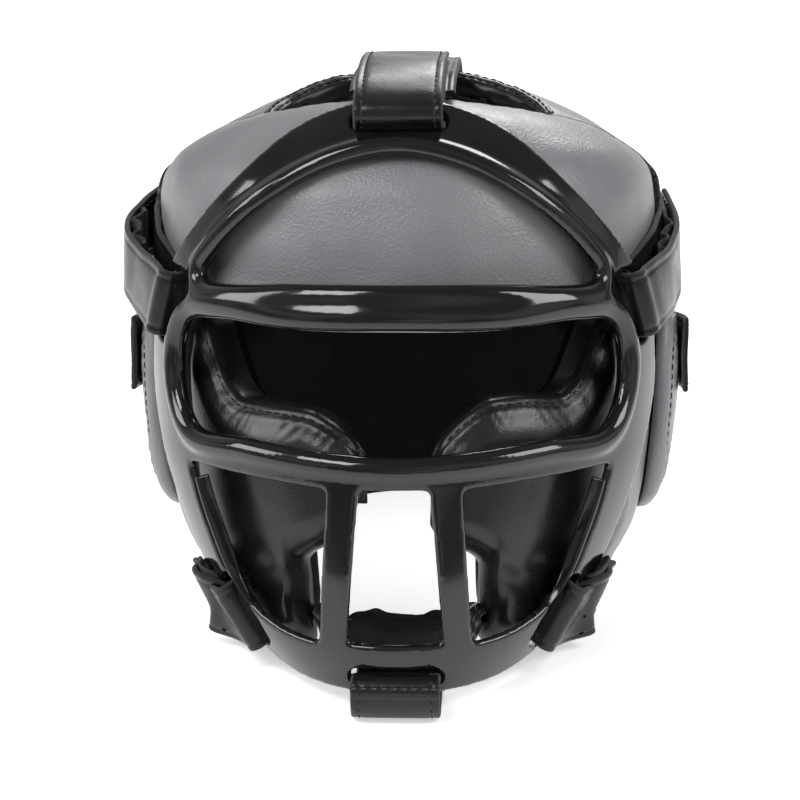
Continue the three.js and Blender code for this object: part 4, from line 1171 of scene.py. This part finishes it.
def hook_layer(path, normal, across, width, seed, under, wave, peek, ragged):
    """Wavy tape under a strap, showing along its upper edge."""
    along = np.concatenate([[0], np.cumsum(np.linalg.norm(np.diff(path, axis=0), axis=1))])
    wavy = wave * np.sin(2 * math.pi * along / HOOK_PITCH + 1.4 * waves(path, 22, seed + 1))
    fade = smoothstep(along, 0, 6)
    line = path - normal * (mix(HOOK_UNDER, under, fade) + wavy * fade)[:, None]
    line = line - unit(across) * (peek * fade + ragged * waves(path, 11, seed + 2, 2))[:, None]
    return band(line, across, width - 3, HOOK_DEPTH, hollow=0, sewn=False)


EDGE_STEPS_ALONG, EDGE_STITCH_FROM, EDGE_RIPPLE = 170, 0.56, 0.3


def edge_strap(slot, column, width, under, over, shift, aside, seed, tape):
    """Strap under the cage's edge to a slot, folded there, then back outside over the wall."""
    x, z, along_x, along_z, _ = SLOTS[slot]
    along = unit(cage_point(x + along_x * 5, z + along_z * 5) - cage_point(x - along_x * 5, z - along_z * 5))
    back = unit(np.cross(along, cage_normal(x, z)))
    back = -back if back[1] < 0 else back
    start = cage_point(x, z) + along * shift + back * aside
    points, normals = [], []

    def wall_stops(rows):
        for deg, height, depth in rows:
            points.append(on_wall(deg, height, depth))
            normals.append(wall_normal(deg, height))

    wall_stops(under)
    for row in EDGE_STRAP_ROWS:
        ahead = start + back * row[0]
        normal = cage_normal(ahead[0], ahead[2])
        points.append(cage_point(ahead[0], ahead[2]) + normal * row[column])
        normals.append(normal)
    wall_stops(over)
    # Normals are blended along with the points, at a weight too small to change the spacing.
    both = smooth_path(np.concatenate([np.array(points), np.array(normals) * 0.02], 1), EDGE_STEPS_ALONG)
    path, normal = both[:, :3], unit(both[:, 3:])
    across = along - normal * (normal @ along)[:, None]
    strap = band(
        path, across, width, STRAP_DEPTH, leather_ripple(seed, EDGE_RIPPLE), stitch_from=EDGE_STITCH_FROM)
    last = slice(int(HOOK_FROM * EDGE_STEPS_ALONG), int(HOOK_TO * EDGE_STEPS_ALONG))
    return strap.join(hook_layer(path[last], normal[last], across[last], width, seed, *tape), 3)


# Straps at the cage's edge: slot, column, width, way under, way over, shift along and aside, seed,
# and the tape's depth under the strap, wave, reach past its edge and raggedness.
TEMPLE_TAPE = (4, 1.7, 1.2, 0.4)
EDGE_STRAPS = {
    "temple_loop_left": ("temple", 1, TEMPLE_WIDTH, TEMPLE_UNDER, TEMPLE_OVER_LEFT, 0, 2.2, 51, TEMPLE_TAPE),
    "temple_loop_right": ("temple", 1, TEMPLE_WIDTH, TEMPLE_UNDER, TEMPLE_OVER_RIGHT, 0, 2.2, 52, TEMPLE_TAPE),
    "jaw_loop_left": ("jaw", 2, JAW_WIDTH, JAW_UNDER, JAW_OVER, 2.4, 1, 53, (2.9, 0.1, 1.8, 0.5)),
    "jaw_loop_right": ("jaw", 2, JAW_WIDTH, JAW_UNDER, JAW_OVER, 1.2, 1, 54, (3.2, 0.1, 4.5, 0.8)),
}
for strap_name, row in EDGE_STRAPS.items():
    make(strap_name, edge_strap(*row), STRAP_MATERIALS,
         [strap_name.replace("loop", "strap")], strap_name.endswith("left"))


def back_band():
    """Strap round the back, lifted over the ear covers."""
    deg = np.linspace(BACK_STRAP_DEG, 360 - BACK_STRAP_DEG, 260)
    turn = np.minimum(deg, 360 - deg)
    share = np.hypot((turn - EAR_DEG) / EAR_HALF_DEG, 0.43)
    over = np.where(share < 1, 1, smoothstep(1.62 - share, 0, 0.62))
    path = on_wall(deg, BACK_STRAP_Z, -2 - over * (EAR_LIP + EAR_RISE + 0.6))
    return band(path, np.tile([0, 0, 1.0], (len(path), 1)), BACK_WIDTH, BACK_DEPTH, leather_ripple(57, 0.3))


make("back_band", back_band(), STRAP_MATERIALS, ["back_strap"])

# Piped seams: a stitched flange stands in each seam at the side of the head, and a bound edge on the rear rim.
# The flange goes from one angle to another, and sinks to a share of its height, between these mm up the wall.
FLANGE_DEG, FLANGE_TURN, FLANGE_LOW, FLANGE_SINKS = (85.6, SEAM_DEG), (62, 92), 0.2, (72, 94)
FLANGE_PROUD, FLANGE_SUNK, FLANGE_THICK, FLANGE_STEPS, FLANGE_ENDS = 2.4, 5.0, 1.7, 120, (-3, 116)


def seam_flange(low, high):
    """Middle line, way out and half height of a folded leather edge in a seam, from low to high mm up the wall."""
    share = np.linspace(0, 1, FLANGE_STEPS)
    mm = mix(low, high, share)
    level = length_level(mm)
    deg = mix(*FLANGE_DEG, smoothstep(mm, *FLANGE_TURN))
    proud = FLANGE_PROUD * mix(1, FLANGE_LOW, smoothstep(mm, *FLANGE_SINKS))
    out = proud * smoothstep(share, 0, 0.06) * smoothstep(1 - share, 0, 0.12)
    top, foot = wall_point(deg, level, -out), wall_point(deg, level, FLANGE_SUNK)
    return (top + foot) / 2, unit(top - foot), np.linalg.norm(top - foot, axis=1) / 2


def flange_parts(low, high):
    path, out, reach = seam_flange(low, high)
    tangent = unit(np.gradient(path, axis=0))
    side = np.cross(tangent, out)
    turn = np.linspace(0, 2 * math.pi, 17)[:-1]
    wave = 0.35 * np.sin(np.linspace(0, 1, len(path)) * 61)[:, None, None]
    tall = reach[:, None] * signed_power(np.cos(turn), 0.35)
    thick = FLANGE_THICK / 2 * np.sin(turn)[None, :, None] + wave
    parts = Parts().add(*swept(path[:, None] + out[:, None] * tall[..., None] + side[:, None] * thick))
    for sign in (-1, 1):
        rail = path + out * (reach[:, None] - 1.3) + side * sign * FLANGE_THICK / 2
        stitches(parts, rail[4:-4], 1, side[4:-4] * sign)
    return parts


side_flange = flange_parts(*FLANGE_ENDS)
for side_name, mirror in SIDES:
    make("seam_flange_" + side_name, side_flange, [black_leather, thread], mirror=mirror)

# Rim binding: how far it reaches outside and inside, thickness, ends in degrees, rows across, and its rows of thread.
BINDING_OUT, BINDING_IN, BINDING_LIFT, BINDING_DEG = 9, 22, 1.3, (98, 262)
BINDING_ROWS, BINDING_SEAMS = 34, (3, 6, 16, 20)


def rim_binding():
    """Black leather folded over the rear rim of the crown hole, with its rows of thread."""
    keep = (back_deg[0] > BINDING_DEG[0]) & (back_deg[0] < BINDING_DEG[1])
    outer, inner = back_outer[:, keep], back_inner[:, keep]
    near = back_gaps[3][:, keep].mean(1)
    path = np.concatenate([outer[near < BINDING_OUT], inner[near < BINDING_IN][::-1]])
    section = np.stack([resample(path[:, j], BINDING_ROWS) for j in range(path.shape[1])], 1)
    for _ in range(2):
        section[1:-1] = (section[:-2] + 2 * section[1:-1] + section[2:]) / 4
    normal = unit(np.cross(np.gradient(section, axis=1), np.gradient(section, axis=0)))
    if normal[8:14, :, 2].sum() < 0:
        normal = -normal
    rows = np.arange(BINDING_ROWS)
    rise = np.minimum(1, np.minimum(rows, rows[::-1]) / 2)[:, None, None]
    ripple = 0.3 * waves(section, 16, 61, 2)[..., None]
    sewn = sum(np.exp(-(rows - row) ** 2 / 0.8) for row in BINDING_SEAMS)[:, None, None]
    skin = section + normal * (BINDING_LIFT + ripple - 0.6 * sewn) * rise
    points, faces, _ = shell(skin, section - normal * 0.6)
    parts = Parts().add(points, faces, 0)
    for row in BINDING_SEAMS:
        stitches(parts, skin[row] + normal[row] * 0.35, 1, normal[row])
    return parts


make("rim_binding", rim_binding(), [black_leather, thread])


# Camera, light and floor

PHOTO_TURN, PHOTO_RISE, PHOTO_DISTANCE = math.radians(2.7), math.radians(6), 1300
FOCAL_PIXELS, IMAGE_PIXELS, MIDDLE_PIXEL, SENSOR_WIDTH = 2845, 800, 408, 36


def look_from(turn, rise, distance):
    """Place of a thing that looks at the head's middle, by its turn and rise in the upright head's frame."""
    return distance * np.array([
        math.sin(turn) * math.cos(rise), -math.cos(turn) * math.cos(rise), math.sin(rise)])


def aimed(eye):
    """Matrix in the row's frame of a camera or lamp at eye, looking at the head's middle."""
    origin, target = Vector(to_row(eye)), Vector(to_row(np.zeros(3)))
    back = (origin - target).normalized()
    up = Vector(to_row(np.array([0, 0, 1.0]))) - target
    side = up.cross(back).normalized()
    over = back.cross(side)
    return Matrix.Translation(origin) @ Matrix((side, over, back)).transposed().to_4x4()


def area_lamp(name, watts, size):
    lamp = bpy.data.lights.new(name, "AREA")
    lamp.energy, lamp.size = watts, size
    return place(name, lamp)


camera = place("camera", bpy.data.cameras.new("camera"))
camera.matrix_world = aimed(look_from(PHOTO_TURN, PHOTO_RISE, PHOTO_DISTANCE))
camera.data.sensor_width = SENSOR_WIDTH
camera.data.lens = SENSOR_WIDTH * FOCAL_PIXELS / IMAGE_PIXELS
camera.data.shift_x = (IMAGE_PIXELS / 2 - MIDDLE_PIXEL) / IMAGE_PIXELS
camera.data.clip_start, camera.data.clip_end = 0.05, 60
bpy.context.scene.camera = camera

# Softboxes: turn and rise in degrees from the face, distance and size in mm, watts.
SOFTBOXES = {
    "softbox_front": (-28, 40, 1200, 420, 5),
    "softbox_left": (-66, 30, 1300, 600, 7),
    "softbox_right": (58, 34, 1300, 600, 8),
    "softbox_behind": (165, 50, 1400, 700, 9),
}
for name, (turn, rise, distance, size, watts) in SOFTBOXES.items():
    box = area_lamp(name, watts, size * MM)
    box.matrix_world = aimed(look_from(math.radians(turn), math.radians(rise), distance))

# World: a dim studio with soft patches of light, brighter to the sides and behind than in front.
WORLD_FRONT, WORLD_ROUND, WORLD_ABOVE, WORLD_DIM = 0.55, 0.65, 0.15, 0.2
world = bpy.data.worlds.new("studio")
world.use_nodes = True
world_tree = world.node_tree
backdrop = world_tree.nodes["Background"]
direction = world_tree.nodes.new("ShaderNodeTexCoord")
direction_parts = world_tree.nodes.new("ShaderNodeSeparateXYZ")
world_tree.links.new(direction.outputs["Generated"], direction_parts.inputs["Vector"])
patches = texture(world_tree, direction.outputs["Generated"], "ShaderNodeTexNoise", Scale=1.9, Detail=1)
patch_light = ranged(world_tree, patches.outputs["Fac"], 0.42, 0.62, WORLD_DIM, WORLD_ROUND)
level_light = ranged(world_tree, direction_parts.outputs["Y"], -0.85, 0.1, WORLD_FRONT, WORLD_ROUND)
above_light = ranged(world_tree, direction_parts.outputs["Z"], 0.5, 0.95, WORLD_ROUND, WORLD_ABOVE)
world_tree.links.new(level_light, above_light.node.inputs["To Min"])
world_tree.links.new(above_light, patch_light.node.inputs["To Max"])
world_tree.links.new(patch_light, backdrop.inputs["Strength"])
set_sockets(backdrop, Color=(1, 1, 1, 1))
bpy.context.scene.world = world

# Lamp in the hollow, so that the floor seen through the mouth gap is as pale as in the photo.
HOLLOW_PLACE, HOLLOW_SIZE, HOLLOW_WATTS = (0, 0.02, 0.09), 0.13, 0.08
hollow_box = area_lamp("hollow_lamp", HOLLOW_WATTS, HOLLOW_SIZE)
hollow_box.location = HOLLOW_PLACE
hollow_box.visible_camera = hollow_box.visible_glossy = False

# Light table: it glows behind the headgear and less towards the camera.
FLOOR_HALF, FLOOR_GLOW, FLOOR_FADE = 6, 0.5, (-0.9, -0.3)
floor_mesh = bpy.data.meshes.new("floor")
floor_corners = [(x * FLOOR_HALF, y * FLOOR_HALF, 0) for x, y in ((-1, -1), (1, -1), (1, 1), (-1, 1))]
floor_mesh.from_pydata(floor_corners, [], [(0, 1, 2, 3)])
floor = place("floor", floor_mesh)
floor_paint, floor_tree, floor_shader, floor_where = node_setup("floor_paint")
floor_speck = texture(floor_tree, floor_where, "ShaderNodeTexNoise", Scale=3, Detail=2)
floor_tree.links.new(
    two_colours(floor_tree, floor_speck.outputs["Fac"], (0.9, 0.9, 0.9), (0.92, 0.92, 0.92)),
    floor_shader.inputs["Base Color"])
set_sockets(floor_shader, Roughness=0.6, Emission_Color=(1, 1, 1, 1))
floor_parts = floor_tree.nodes.new("ShaderNodeSeparateXYZ")
floor_tree.links.new(floor_where, floor_parts.inputs["Vector"])
floor_tree.links.new(
    ranged(floor_tree, floor_parts.outputs["Y"], *FLOOR_FADE, 0, FLOOR_GLOW), floor_shader.inputs["Emission Strength"])
floor_mesh.materials.append(floor_paint)
bpy.context.scene.view_settings.view_transform = "Standard"
